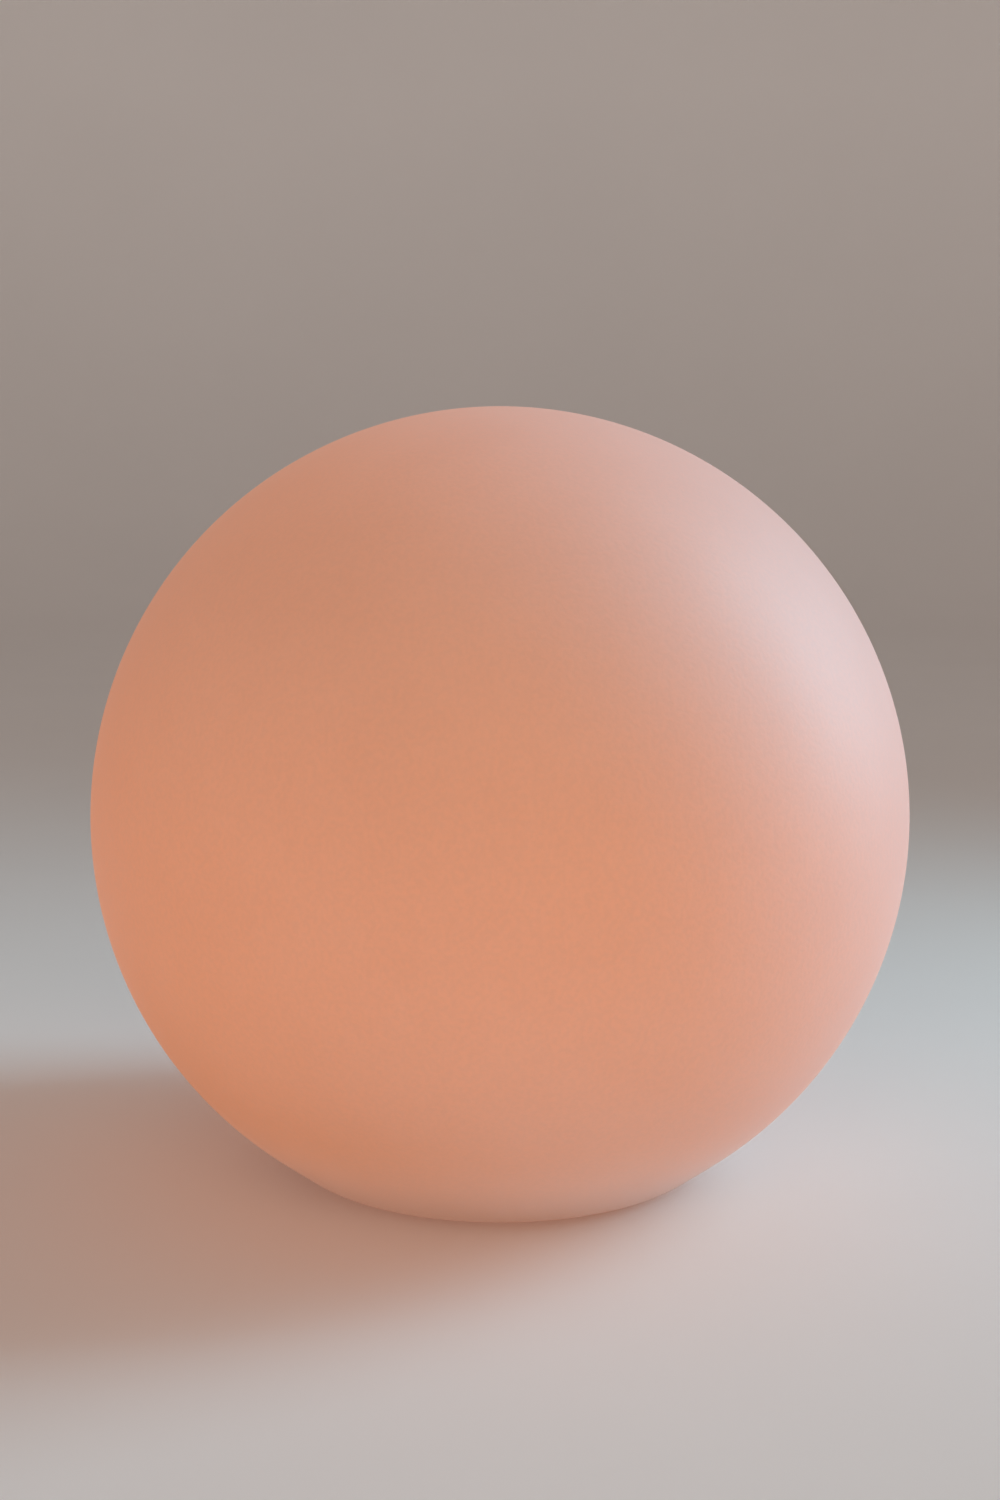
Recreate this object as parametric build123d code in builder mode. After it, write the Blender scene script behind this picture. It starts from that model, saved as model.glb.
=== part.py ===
"""Garden globe light: a translucent ball that screws down over a sealed, rechargeable light base.

Millimetres, +Z up. The origin is the centre of the face that the light stands on, under its four pads.
The ball's outline is a sphere with a small rounded foot, and everything else is set out from that foot:
the recess under the ball, the threaded neck, and the base that stands inside both.
"""

from build123d import *
import math
import os

os.makedirs("parts", exist_ok=True)

# ------------------------------------------------------------------ the ball
ball_radius = 200.0
shell_wall = 3.0
foot_gap = 0.4  # the ball's foot hangs this far above the pads' plane
centre_height = 177.0
foot_radius = 88.0  # where the flat of the foot starts to turn up
foot_round = 30.0

# ------------------------------------------------------------------ the recess and the neck
recess_radius = 74.0
recess_top = 14.4
recess_round = 2.5
collar_radius = 66.0
collar_top = 36.0
collar_key_low = 22.0  # the key that locks the collar into the shell's neck
collar_key_high = 28.0
collar_key_depth = 1.5
seal_groove_inner = 60.2
seal_groove_outer = 63.8
seal_groove_depth = 1.5
seal_play = 0.1

# ------------------------------------------------------------------ the coarse thread
thread_lead = 24.0
thread_starts = 4
ridge_arc = 150.0
ridge_root_width = 3.0
ridge_crest_width = 1.8
ridge_sink = 0.3  # how far a ridge is sunk into the wall that carries it
male_root = 55.8
male_crest = 58.3
female_root = 58.9
female_crest = 56.5
male_start = 20.0
flank_gap = 0.25

# ------------------------------------------------------------------ the base housing
flange_radius = 71.0
flange_top = 12.0
flange_bottom = 3.5
chamber_radius = 52.6
rim_top = 62.0
rim_inner = 48.4
ledge_top = 58.0
ledge_inner = 43.5
ledge_under = 52.0
gusset_low = 46.0
oring_inner = 49.0
oring_outer = 51.2
oring_depth = 1.4

# ------------------------------------------------------------------ the base plate
plate_radius = 68.0
plate_bottom = 2.5
plate_top = 6.5
gasket_inner = 53.3
gasket_outer = 58.2
gasket_thickness = 1.0
well_radius = 40.0
well_wall = 2.5
well_floor = 20.0
floor_thickness = 2.5
bar_width = 16.0
bar_bottom = 4.0
bar_hollow_width = 11.0
bar_hollow_length = 70.0
pad_circle = 53.0
pad_radius = 7.0
pad_socket = 0.8
plate_screw_circle = 63.0

# ------------------------------------------------------------------ the light dome and what it covers
dome_sphere = 50.0
dome_wall = 2.0
dome_foot_radius = 47.4
dome_flange_radius = 55.6
dome_flange = 2.5
dome_screw_circle = 53.0
heat_plate_radius = 48.1
heat_plate_thickness = 2.5
heat_screw_circle = 45.8
thermal_pad_thickness = 0.5
led_board_radius = 43.0
led_board_thickness = 1.6
chip_side = 5.0
chip_height = 1.5
chip_rings = ((14.0, 6), (26.0, 12), (37.0, 18))
grommet_bore = 4.0
grommet_neck = 6.9
grommet_flange = 8.6

# ------------------------------------------------------------------ battery and boards
cell_radius = 9.1
cell_length = 65.0
cell_offset = 9.7
cradle_base = 2.0
cradle_length = 74.0
cradle_width = 41.0
cradle_height = 11.0
cradle_play = 0.2
boss_x = 21.0
boss_y = 22.5
boss_top = 28.0
post_x = 31.0
post_y = 22.0
board_height = 47.0
board_length = 68.0
board_width = 54.0
board_thickness = 1.6

# ------------------------------------------------------------------ button, indicator and charging port
button_x = -5.0
button_y = 28.5
button_radius = 5.0
button_travel = 1.2
lens_x = 9.0
lens_radius = 2.0
switch_board_height = 30.0
switch_board_thickness = 1.2
switch_post_x = 14.1
jack_y = -28.5
jack_bore = 2.9
jack_body = 4.8
anchor_x = 13.5
bung_radius = 7.0
bung_travel = 7.5

# ------------------------------------------------------------------ worked out from the sizes above
floor_top = well_floor + floor_thickness
foot_height = foot_gap + foot_round
heat_plate_top = ledge_top + heat_plate_thickness
led_board_bottom = heat_plate_top + thermal_pad_thickness
led_board_top = led_board_bottom + led_board_thickness
board_top = board_height + board_thickness
cell_height = floor_top + cradle_base + cradle_play + cell_radius
switch_post_y = button_y + 4.0
switch_board_y = button_y + 0.4
mean_ridge_width = (ridge_root_width + ridge_crest_width) / 2
female_start = male_start - mean_ridge_width + 0.15 - flank_gap

# The ball and the round of its foot have one common tangent, which leaves both at this angle from straight down.
centre_to_foot = math.hypot(foot_radius, centre_height - foot_height)
tangent_angle = math.degrees(
    math.atan2(foot_radius, centre_height - foot_height)
    + math.acos((ball_radius - foot_round) / centre_to_foot)
)


def save(piece, name):
    """Labels a finished piece and writes it as a STEP file of its own."""
    piece.part.label = name
    export_step(piece.part, f"parts/{name}.step")


def corners(sketch, *points):
    """The vertices of a sketch at the given places."""
    return [
        v for v in sketch.vertices()
        if any(math.hypot(v.X - x, v.Y - y) < 0.01 for x, y in points)
    ]


def helical_ridge(root_radius, crest_radius, start_height):
    """One start of the coarse thread: a trapezoid carried up a right-hand helix."""
    sink = ridge_sink if crest_radius > root_radius else -ridge_sink
    with BuildPart() as ridge:
        with BuildLine() as climb:
            Helix(
                pitch=thread_lead,
                height=thread_lead * ridge_arc / 360,
                radius=root_radius,
                center=(0, 0, start_height),
            )
        with BuildSketch(Plane.XZ):
            with BuildLine():
                Polyline(
                    (root_radius - sink, start_height - ridge_root_width / 2),
                    (root_radius, start_height - ridge_root_width / 2),
                    (crest_radius, start_height - ridge_crest_width / 2),
                    (crest_radius, start_height + ridge_crest_width / 2),
                    (root_radius, start_height + ridge_root_width / 2),
                    (root_radius - sink, start_height + ridge_root_width / 2),
                    close=True,
                )
            make_face()
        sweep(path=climb.line, is_frenet=True)
    return ridge.part


def pan_screw(head_radius, head_height, shank_radius, shank_length):
    """A pan-head screw with a cross recess: its head stands on z = 0 and its shank points down."""
    with BuildPart() as screw:
        with BuildSketch():
            Circle(head_radius)
        extrude(amount=head_height)
        fillet(screw.edges().group_by(Axis.Z)[-1], head_height * 0.6)
        with BuildSketch():
            Circle(shank_radius)
        extrude(amount=-shank_length)
        chamfer(screw.edges().group_by(Axis.Z)[0], shank_radius * 0.4)
        with BuildSketch(Plane.XY.offset(head_height)):
            Rectangle(head_radius * 1.1, head_radius * 0.28)
            Rectangle(head_radius * 0.28, head_radius * 1.1)
        extrude(amount=-head_height * 0.55, mode=Mode.SUBTRACT)
    return screw.part


def lead(bend, radius, *points):
    """An insulated wire along straight runs joined by round bends."""
    with BuildPart() as wire:
        with BuildLine() as route:
            FilletPolyline(*points, radius=bend)
        with BuildSketch(Plane(origin=route.line @ 0, z_dir=route.line % 0)):
            Circle(radius)
        sweep()
    return wire.part


# ================================================================== the ball
with BuildPart() as globe_shell:
    with BuildSketch(Plane.XZ) as globe_profile:
        with BuildLine():
            # Outside: over the top, down the sphere, along the common tangent and round the foot.
            outer_sphere = CenterArc(
                (0, centre_height), ball_radius, 90, tangent_angle - 180
            )
            outer_foot = CenterArc(
                (foot_radius, foot_height), foot_round, tangent_angle - 90, -tangent_angle
            )
            Line(outer_sphere @ 1, outer_foot @ 0)
            # Underneath: the flat ring, the recess, and the neck that grips the collar.
            inner_foot = CenterArc(
                (foot_radius, foot_height), foot_round - shell_wall, -90, tangent_angle
            )
            Polyline(
                outer_foot @ 1,
                (recess_radius, foot_gap),
                (recess_radius, recess_top),
                (collar_radius, recess_top),
                (collar_radius, collar_key_low),
                (collar_radius - collar_key_depth, collar_key_low + collar_key_depth),
                (collar_radius - collar_key_depth, collar_key_high - collar_key_depth),
                (collar_radius, collar_key_high),
                (collar_radius, collar_top),
                (collar_radius + shell_wall, collar_top),
                (collar_radius + shell_wall, recess_top + shell_wall),
                (recess_radius + shell_wall, recess_top + shell_wall),
                (recess_radius + shell_wall, foot_gap + shell_wall),
                inner_foot @ 0,
            )
            # Inside: back up, one wall thickness in.
            inner_sphere = CenterArc(
                (0, centre_height), ball_radius - shell_wall, tangent_angle - 90, 180 - tangent_angle
            )
            Line(inner_foot @ 1, inner_sphere @ 0)
            Line(inner_sphere @ 1, outer_sphere @ 0)
        make_face()
        fillet(
            corners(
                globe_profile,
                (recess_radius, foot_gap),
                (recess_radius, recess_top),
                (recess_radius + shell_wall, recess_top + shell_wall),
                (recess_radius + shell_wall, foot_gap + shell_wall),
            ),
            recess_round,
        )
        fillet(
            corners(
                globe_profile,
                (collar_radius + shell_wall, collar_top),
                (collar_radius + shell_wall, recess_top + shell_wall),
            ),
            shell_wall / 2,
        )
    revolve(axis=Axis.Z)
save(globe_shell, "globe_shell")

female_ridge = helical_ridge(female_root, female_crest, female_start)
with BuildPart() as neck_collar:
    with BuildSketch(Plane.XZ):
        with BuildLine():
            Polyline(
                (female_root, recess_top),
                (seal_groove_inner, recess_top),
                (seal_groove_inner, recess_top + seal_groove_depth),
                (seal_groove_outer, recess_top + seal_groove_depth),
                (seal_groove_outer, recess_top),
                (collar_radius, recess_top),
                (collar_radius, collar_key_low),
                (collar_radius - collar_key_depth, collar_key_low + collar_key_depth),
                (collar_radius - collar_key_depth, collar_key_high - collar_key_depth),
                (collar_radius, collar_key_high),
                (collar_radius, collar_top),
                (female_root, collar_top),
                close=True,
            )
        make_face()
    revolve(axis=Axis.Z)
    with PolarLocations(0, thread_starts):
        add(female_ridge)
save(neck_collar, "neck_collar")

# The face seal sits in the collar's groove and is squeezed onto the housing's flange.
with BuildPart() as neck_seal:
    with BuildSketch(Plane.XZ) as seal_profile:
        with BuildLine():
            Polyline(
                (seal_groove_inner + seal_play, flange_top),
                (seal_groove_outer - seal_play, flange_top),
                (seal_groove_outer - seal_play, recess_top + seal_groove_depth - seal_play),
                (seal_groove_inner + seal_play, recess_top + seal_groove_depth - seal_play),
                close=True,
            )
        make_face()
        fillet(
            corners(
                seal_profile,
                (seal_groove_inner + seal_play, flange_top),
                (seal_groove_outer - seal_play, flange_top),
            ),
            1.0,
        )
    revolve(axis=Axis.Z)
save(neck_seal, "neck_seal")

# ================================================================== the base housing
male_ridge = helical_ridge(male_root, male_crest, male_start)
with BuildPart() as base_housing:
    with BuildSketch(Plane.XZ) as housing_profile:
        with BuildLine():
            Polyline(
                (chamber_radius, plate_top),
                (plate_radius + 0.4, plate_top),
                (plate_radius + 0.4, flange_bottom),
                (flange_radius, flange_bottom),
                (flange_radius, flange_top),
                (male_root, flange_top),
                (male_root, rim_top),
                (oring_outer, rim_top),
                (oring_outer, rim_top - oring_depth),
                (oring_inner, rim_top - oring_depth),
                (oring_inner, rim_top),
                (rim_inner, rim_top),
                (rim_inner, ledge_top),
                (ledge_inner, ledge_top),
                (ledge_inner, ledge_under),
                (chamber_radius, gusset_low),
                close=True,
            )
        make_face()
        fillet(corners(housing_profile, (male_root, flange_top)), 1.5)
        fillet(corners(housing_profile, (flange_radius, flange_bottom), (flange_radius, flange_top)), 1.0)
    revolve(axis=Axis.Z)
    with PolarLocations(0, thread_starts):
        add(male_ridge)
    # Blind holes for the dome's, the heat plate's and the base plate's screws.
    with BuildSketch(Plane.XY.offset(rim_top)):
        with PolarLocations(dome_screw_circle, 6):
            Circle(1.15)
    extrude(amount=-8.0, mode=Mode.SUBTRACT)
    with BuildSketch(Plane.XY.offset(ledge_top)):
        with PolarLocations(heat_screw_circle, 4, start_angle=45):
            Circle(1.15)
    extrude(amount=-5.0, mode=Mode.SUBTRACT)
    with BuildSketch(Plane.XY.offset(plate_top)):
        with PolarLocations(plate_screw_circle, 6):
            Circle(1.5)
    extrude(amount=4.6, mode=Mode.SUBTRACT)
save(base_housing, "base_housing")

# ================================================================== the base plate and its fixings
with BuildPart() as base_plate:
    with BuildSketch(Plane.XY.offset(plate_bottom)):
        Circle(plate_radius)
    extrude(amount=plate_top - plate_bottom)
    fillet(base_plate.edges().group_by(Axis.Z)[0], 0.8)
    with BuildSketch(Plane.XY.offset(plate_top)):
        Circle(gasket_outer)
        Circle(gasket_inner, mode=Mode.SUBTRACT)
    extrude(amount=-gasket_thickness, mode=Mode.SUBTRACT)
    # A cup stands up from the middle, and two finger wells either side of a grip bar are sunk into it.
    with BuildSketch(Plane.XY.offset(plate_bottom)):
        Circle(well_radius + well_wall)
    extrude(amount=floor_top - plate_bottom)
    with BuildSketch(Plane.XY.offset(plate_bottom)):
        Circle(well_radius)
        Rectangle(2 * well_radius, bar_width, mode=Mode.SUBTRACT)
    extrude(amount=well_floor - plate_bottom, mode=Mode.SUBTRACT)
    with BuildSketch(Plane.XY.offset(plate_bottom)):
        Circle(well_radius)
    extrude(amount=bar_bottom - plate_bottom, mode=Mode.SUBTRACT)
    well_edges = base_plate.edges().filter_by_position(
        Axis.Z, well_floor - 0.01, well_floor + 0.01
    )
    fillet(well_edges, 2.0)
    grip_edges = (
        base_plate.edges()
        .filter_by(GeomType.LINE)
        .filter_by_position(Axis.Z, bar_bottom - 0.01, bar_bottom + 0.01)
    )
    fillet(grip_edges, 1.5)
    with BuildSketch(Plane.XY.offset(floor_top)):
        Rectangle(bar_hollow_length, bar_hollow_width)
    extrude(amount=bar_bottom + well_wall - floor_top, mode=Mode.SUBTRACT)
    # Bosses for the battery cradle and posts for the two boards.
    with BuildSketch(Plane.XY.offset(floor_top)):
        with GridLocations(2 * boss_x, 2 * boss_y, 2, 2):
            Circle(3.0)
    extrude(amount=boss_top - floor_top)
    with BuildSketch(Plane.XY.offset(floor_top)):
        with GridLocations(2 * post_x, 2 * post_y, 2, 2):
            Circle(3.0)
    extrude(amount=board_height - floor_top)
    with BuildSketch(Plane.XY.offset(floor_top)):
        with Locations((-switch_post_x, switch_post_y), (switch_post_x, switch_post_y)):
            Circle(2.2)
    extrude(amount=switch_board_height - floor_top)
    with BuildSketch(Plane.XY.offset(boss_top)):
        with GridLocations(2 * boss_x, 2 * boss_y, 2, 2):
            Circle(1.15)
    extrude(amount=-4.5, mode=Mode.SUBTRACT)
    with BuildSketch(Plane.XY.offset(board_height)):
        with GridLocations(2 * post_x, 2 * post_y, 2, 2):
            Circle(1.15)
    extrude(amount=-6.5, mode=Mode.SUBTRACT)
    with BuildSketch(Plane.XY.offset(switch_board_height)):
        with Locations((-switch_post_x, switch_post_y), (switch_post_x, switch_post_y)):
            Circle(0.9)
    extrude(amount=-4.5, mode=Mode.SUBTRACT)
    # Holes in the wells' floor: button, indicator, charging socket and the bung strap's anchor.
    with BuildSketch(Plane.XY.offset(well_floor)):
        with Locations((button_x, button_y)):
            Circle(button_radius + 0.25)
        with Locations((lens_x, button_y)):
            Circle(lens_radius + 0.05)
        with Locations((0, jack_y)):
            Circle(jack_body + 0.1)
        with Locations((anchor_x, jack_y)):
            Circle(1.6)
    extrude(amount=floor_thickness, mode=Mode.SUBTRACT)
    # Counterbored screw holes and the pads' shallow sockets.
    with BuildSketch(Plane.XY.offset(plate_bottom)):
        with PolarLocations(plate_screw_circle, 6):
            Circle(1.7)
    extrude(amount=plate_top - plate_bottom, mode=Mode.SUBTRACT)
    with BuildSketch(Plane.XY.offset(plate_bottom)):
        with PolarLocations(plate_screw_circle, 6):
            Circle(3.3)
    extrude(amount=2.2, mode=Mode.SUBTRACT)
    with BuildSketch(Plane.XY.offset(plate_bottom)):
        with PolarLocations(pad_circle, 4, start_angle=45):
            Circle(pad_radius + 0.1)
    extrude(amount=pad_socket, mode=Mode.SUBTRACT)
save(base_plate, "base_plate")

with BuildPart() as plate_gasket:
    with BuildSketch(Plane.XY.offset(plate_top - gasket_thickness)):
        Circle(gasket_outer - 0.2)
        Circle(gasket_inner + 0.2, mode=Mode.SUBTRACT)
    extrude(amount=gasket_thickness)
save(plate_gasket, "plate_gasket")

plate_screw = pan_screw(head_radius=2.9, head_height=2.0, shank_radius=1.4, shank_length=6.2)
with BuildPart() as plate_screws:
    with PolarLocations(plate_screw_circle, 6):
        with Locations(Location((0, 0, plate_bottom + 2.2), (180, 0, 0))):
            add(plate_screw)
save(plate_screws, "plate_screws")

with BuildPart() as foot_pads:
    with BuildSketch():
        with PolarLocations(pad_circle, 4, start_angle=45):
            Circle(pad_radius)
    extrude(amount=plate_bottom + pad_socket)
    fillet(foot_pads.edges().group_by(Axis.Z)[0], 0.6)
save(foot_pads, "foot_pads")

# ================================================================== the light dome and the lamp under it
dome_foot_top = rim_top + dome_flange
dome_centre = dome_foot_top - math.sqrt(dome_sphere**2 - dome_foot_radius**2)
dome_inner_sphere = dome_sphere - dome_wall
outer_angle = math.degrees(math.asin((dome_foot_top - dome_centre) / dome_sphere))
inner_angle = math.degrees(math.asin((rim_top - dome_centre) / dome_inner_sphere))
with BuildPart() as light_dome:
    with BuildSketch(Plane.XZ) as dome_profile:
        with BuildLine():
            dome_outside = CenterArc((0, dome_centre), dome_sphere, 90, outer_angle - 90)
            dome_inside = CenterArc((0, dome_centre), dome_inner_sphere, inner_angle, 90 - inner_angle)
            Polyline(
                dome_outside @ 1,
                (dome_flange_radius, dome_foot_top),
                (dome_flange_radius, rim_top),
                dome_inside @ 0,
            )
            Line(dome_inside @ 1, dome_outside @ 0)
        make_face()
        fillet(corners(dome_profile, (dome_foot_radius, dome_foot_top)), 1.0)
        fillet(corners(dome_profile, (dome_flange_radius, dome_foot_top)), 0.8)
    revolve(axis=Axis.Z)
    with BuildSketch(Plane.XY.offset(rim_top)):
        with PolarLocations(dome_screw_circle, 6):
            Circle(1.4)
    extrude(amount=dome_flange, mode=Mode.SUBTRACT)
save(light_dome, "light_dome")

with BuildPart() as dome_oring:
    with BuildSketch(Plane.XZ) as oring_profile:
        with Locations(((oring_inner + oring_outer) / 2, rim_top - oring_depth / 2)):
            Circle(oring_depth / 2)
    revolve(axis=Axis.Z)
save(dome_oring, "dome_oring")

dome_screw = pan_screw(head_radius=2.2, head_height=1.7, shank_radius=1.1, shank_length=9.0)
with BuildPart() as dome_screws:
    with PolarLocations(dome_screw_circle, 6):
        with Locations((0, 0, dome_foot_top)):
            add(dome_screw)
save(dome_screws, "dome_screws")

with BuildPart() as heat_plate:
    with BuildSketch(Plane.XY.offset(ledge_top)):
        Circle(heat_plate_radius)
        Circle(grommet_neck + 0.1, mode=Mode.SUBTRACT)
        with PolarLocations(heat_screw_circle, 4, start_angle=45):
            Circle(1.4, mode=Mode.SUBTRACT)
    extrude(amount=heat_plate_thickness)
save(heat_plate, "heat_plate")

heat_screw = pan_screw(head_radius=2.1, head_height=1.2, shank_radius=1.1, shank_length=7.0)
with BuildPart() as heat_plate_screws:
    with PolarLocations(heat_screw_circle, 4, start_angle=45):
        with Locations((0, 0, heat_plate_top)):
            add(heat_screw)
save(heat_plate_screws, "heat_plate_screws")

with BuildPart() as thermal_pad:
    with BuildSketch(Plane.XY.offset(heat_plate_top)):
        Circle(led_board_radius - 0.5)
        Circle(grommet_neck + 0.3, mode=Mode.SUBTRACT)
    extrude(amount=thermal_pad_thickness)
save(thermal_pad, "thermal_pad")

with BuildPart() as led_board:
    with BuildSketch(Plane.XY.offset(led_board_bottom)):
        Circle(led_board_radius)
        Circle(grommet_neck + 0.1, mode=Mode.SUBTRACT)
    extrude(amount=led_board_thickness)
save(led_board, "led_board")

with BuildPart() as led_chips:
    for ring_radius, ring_count in chip_rings:
        with BuildSketch(Plane.XY.offset(led_board_top)):
            with PolarLocations(ring_radius, ring_count):
                Rectangle(chip_side, chip_side)
        extrude(amount=chip_height)
    for ring_radius, ring_count in chip_rings:
        with BuildSketch(Plane.XY.offset(led_board_top + chip_height)):
            with PolarLocations(ring_radius, ring_count):
                Circle(chip_side * 0.36)
        extrude(amount=-0.5, mode=Mode.SUBTRACT)
save(led_chips, "led_chips")

with BuildPart() as remote_receiver:
    with BuildSketch(Plane.XY.offset(led_board_top + 1.5)):
        with Locations((20.0, 0)):
            Rectangle(4.0, 5.0)
    extrude(amount=6.5)
    with BuildSketch(Plane.YZ.offset(22.0)):
        with Locations((0, led_board_top + 5.6)):
            Circle(1.7)
    extrude(amount=1.2)
    with BuildSketch(Plane.XY.offset(led_board_top)):
        with Locations((20.0, -1.6), (20.0, 0), (20.0, 1.6)):
            Rectangle(0.5, 0.5)
    extrude(amount=1.5)
save(remote_receiver, "remote_receiver")

with BuildPart() as cable_grommet:
    with BuildSketch(Plane.XZ):
        with BuildLine():
            Polyline(
                (grommet_bore, ledge_top - 1.2),
                (grommet_flange, ledge_top - 1.2),
                (grommet_flange, ledge_top),
                (grommet_neck, ledge_top),
                (grommet_neck, led_board_top),
                (grommet_flange, led_board_top),
                (grommet_flange, led_board_top + 1.2),
                (grommet_bore, led_board_top + 1.2),
                close=True,
            )
        make_face()
    revolve(axis=Axis.Z)
save(cable_grommet, "cable_grommet")

# ================================================================== battery
with BuildPart() as battery_cradle:
    with BuildSketch(Plane.XY.offset(floor_top)):
        Rectangle(cradle_length, cradle_width)
    extrude(amount=cradle_height)
    with BuildSketch(Plane.YZ.offset(-cell_length / 2 - cradle_play)):
        with Locations((-cell_offset, cell_height), (cell_offset, cell_height)):
            Circle(cell_radius + cradle_play)
    extrude(amount=cell_length + 2 * cradle_play, mode=Mode.SUBTRACT)
    # The end walls are cut down so that the contact strips show.
    with BuildSketch(Plane.XY.offset(floor_top + 6.0)):
        Rectangle(cradle_length, cradle_width - 12.0)
    extrude(amount=cradle_height, mode=Mode.SUBTRACT)
    # Notches let the bosses, the posts and the screws' heads past. An ear over each boss takes its screw.
    with BuildSketch(Plane.XY.offset(floor_top)):
        with GridLocations(2 * boss_x, 2 * boss_y, 2, 2):
            Circle(3.2)
        with GridLocations(2 * post_x, 2 * post_y, 2, 2):
            Circle(3.4)
    extrude(amount=cradle_height, mode=Mode.SUBTRACT)
    with BuildSketch(Plane.XY.offset(boss_top)):
        with GridLocations(2 * boss_x, 2 * boss_y, 2, 2):
            Circle(3.2)
    extrude(amount=2.0)
    with BuildSketch(Plane.XY.offset(boss_top)):
        with GridLocations(2 * boss_x, 2 * boss_y, 2, 2):
            Circle(1.4)
    extrude(amount=2.0, mode=Mode.SUBTRACT)
save(battery_cradle, "battery_cradle")

cradle_screw = pan_screw(head_radius=2.2, head_height=1.5, shank_radius=1.1, shank_length=5.6)
with BuildPart() as cradle_screws:
    with GridLocations(2 * boss_x, 2 * boss_y, 2, 2):
        with Locations((0, 0, boss_top + 2.0)):
            add(cradle_screw)
save(cradle_screws, "cradle_screws")

with BuildPart() as battery_cells:
    with BuildSketch(Plane.YZ.offset(-cell_length / 2)):
        with Locations((-cell_offset, cell_height), (cell_offset, cell_height)):
            Circle(cell_radius)
    extrude(amount=cell_length)
    fillet(battery_cells.edges().filter_by(GeomType.CIRCLE), 0.8)
save(battery_cells, "battery_cells")

strap_thickness = 1.0
strap_side = cradle_width / 2
strap_top = cell_height + cell_radius
with BuildPart() as battery_straps:
    with BuildSketch(Plane.YZ.offset(-15.0)):
        with Locations((0, strap_top + strap_thickness / 2)):
            Rectangle(cradle_width + 2 * strap_thickness, strap_thickness)
        with Locations((-strap_side - strap_thickness / 2, 0), (strap_side + strap_thickness / 2, 0)):
            with Locations((0, (strap_top + floor_top + 3.0) / 2)):
                Rectangle(strap_thickness, strap_top - floor_top - 3.0)
    extrude(amount=6.0)
    mirror(about=Plane.YZ)
save(battery_straps, "battery_straps")

with BuildPart() as cell_tabs:
    with BuildSketch(Plane.YZ.offset(cell_length / 2)):
        with Locations((0, cell_height)):
            Rectangle(2 * cell_offset + 7.0, 6.0)
    extrude(amount=0.2)
    with BuildSketch(Plane.YZ.offset(-cell_length / 2 - 0.2)):
        with Locations((0, cell_height)):
            Rectangle(2 * cell_offset + 7.0, 6.0)
    extrude(amount=0.2)
save(cell_tabs, "cell_tabs")

# ================================================================== control board
with BuildPart() as control_board:
    with BuildSketch(Plane.XY.offset(board_height)):
        RectangleRounded(board_length, board_width, 3.0)
        with GridLocations(2 * post_x, 2 * post_y, 2, 2):
            Circle(1.4, mode=Mode.SUBTRACT)
    extrude(amount=board_thickness)
save(control_board, "control_board")

board_screw = pan_screw(head_radius=2.2, head_height=1.5, shank_radius=1.1, shank_length=7.0)
with BuildPart() as board_screws:
    with GridLocations(2 * post_x, 2 * post_y, 2, 2):
        with Locations((0, 0, board_top)):
            add(board_screw)
save(board_screws, "board_screws")

# One processor and three lamp drivers.
with BuildPart() as control_chips:
    with BuildSketch(Plane.XY.offset(board_top)):
        with Locations((-14.0, 8.0)):
            Rectangle(7.0, 7.0)
        with Locations((2.0, 14.0), (10.0, 14.0), (18.0, 14.0)):
            Rectangle(4.0, 5.0)
    extrude(amount=1.4)
    chamfer(control_chips.edges().group_by(Axis.Z)[-1], 0.2)
save(control_chips, "control_chips")

# Two round capacitors and two square chokes.
with BuildPart() as power_parts:
    with BuildSketch(Plane.XY.offset(board_top)):
        with Locations((-24.0, -12.0), (-16.0, -12.0)):
            Circle(3.0)
    extrude(amount=6.5)
    with BuildSketch(Plane.XY.offset(board_top)):
        with Locations((-4.0, -14.0), (5.0, -14.0)):
            RectangleRounded(6.6, 6.6, 1.0)
    extrude(amount=3.2)
save(power_parts, "power_parts")

# Wire sockets: one for the lamp leads and one for the battery on the control board, one on the lamp board.
socket_height = 4.6
with BuildPart() as wire_sockets:
    with BuildSketch(Plane.XY.offset(board_top)):
        with Locations((0, 0)):
            Rectangle(5.0, 10.0)
        with Locations((27.0, 0)):
            Rectangle(5.0, 9.0)
    extrude(amount=socket_height)
    with BuildSketch(Plane.XY.offset(led_board_top)):
        with Locations((-20.0, 0)):
            Rectangle(4.0, 10.0)
    extrude(amount=3.4)
save(wire_sockets, "wire_sockets")

lead_radius = 0.7
lamp_socket_top = led_board_top + 3.4
lamp_routes = [
    lead(
        3.0, lead_radius,
        (0, y, board_top + socket_height),
        (0, y, lamp_socket_top + 4.0),
        (-20.0, 1.5 * y, lamp_socket_top + 4.0),
        (-20.0, 1.5 * y, lamp_socket_top),
    )
    for y in (-2.4, -0.8, 0.8, 2.4)
]
with BuildPart() as led_leads:
    for route in lamp_routes:
        add(route)
save(led_leads, "led_leads")

battery_routes = [
    lead(
        2.0, lead_radius + 0.1,
        (cell_length / 2 + 1.0, y, cell_height - 2.0),
        (cell_length / 2 + 5.0, y, cell_height - 2.0),
        (cell_length / 2 + 5.0, y, board_top + socket_height + 3.2),
        (27.0, y, board_top + socket_height + 3.2),
        (27.0, y, board_top + socket_height),
    )
    for y in (-2.2, 2.2)
]
with BuildPart() as battery_leads:
    for route in battery_routes:
        add(route)
    with BuildSketch(Plane.YZ.offset(cell_length / 2 + 0.2)):
        with Locations((-2.2, cell_height - 2.0), (2.2, cell_height - 2.0)):
            Rectangle(2.4, 2.4)
    extrude(amount=1.2)
save(battery_leads, "battery_leads")

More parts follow.
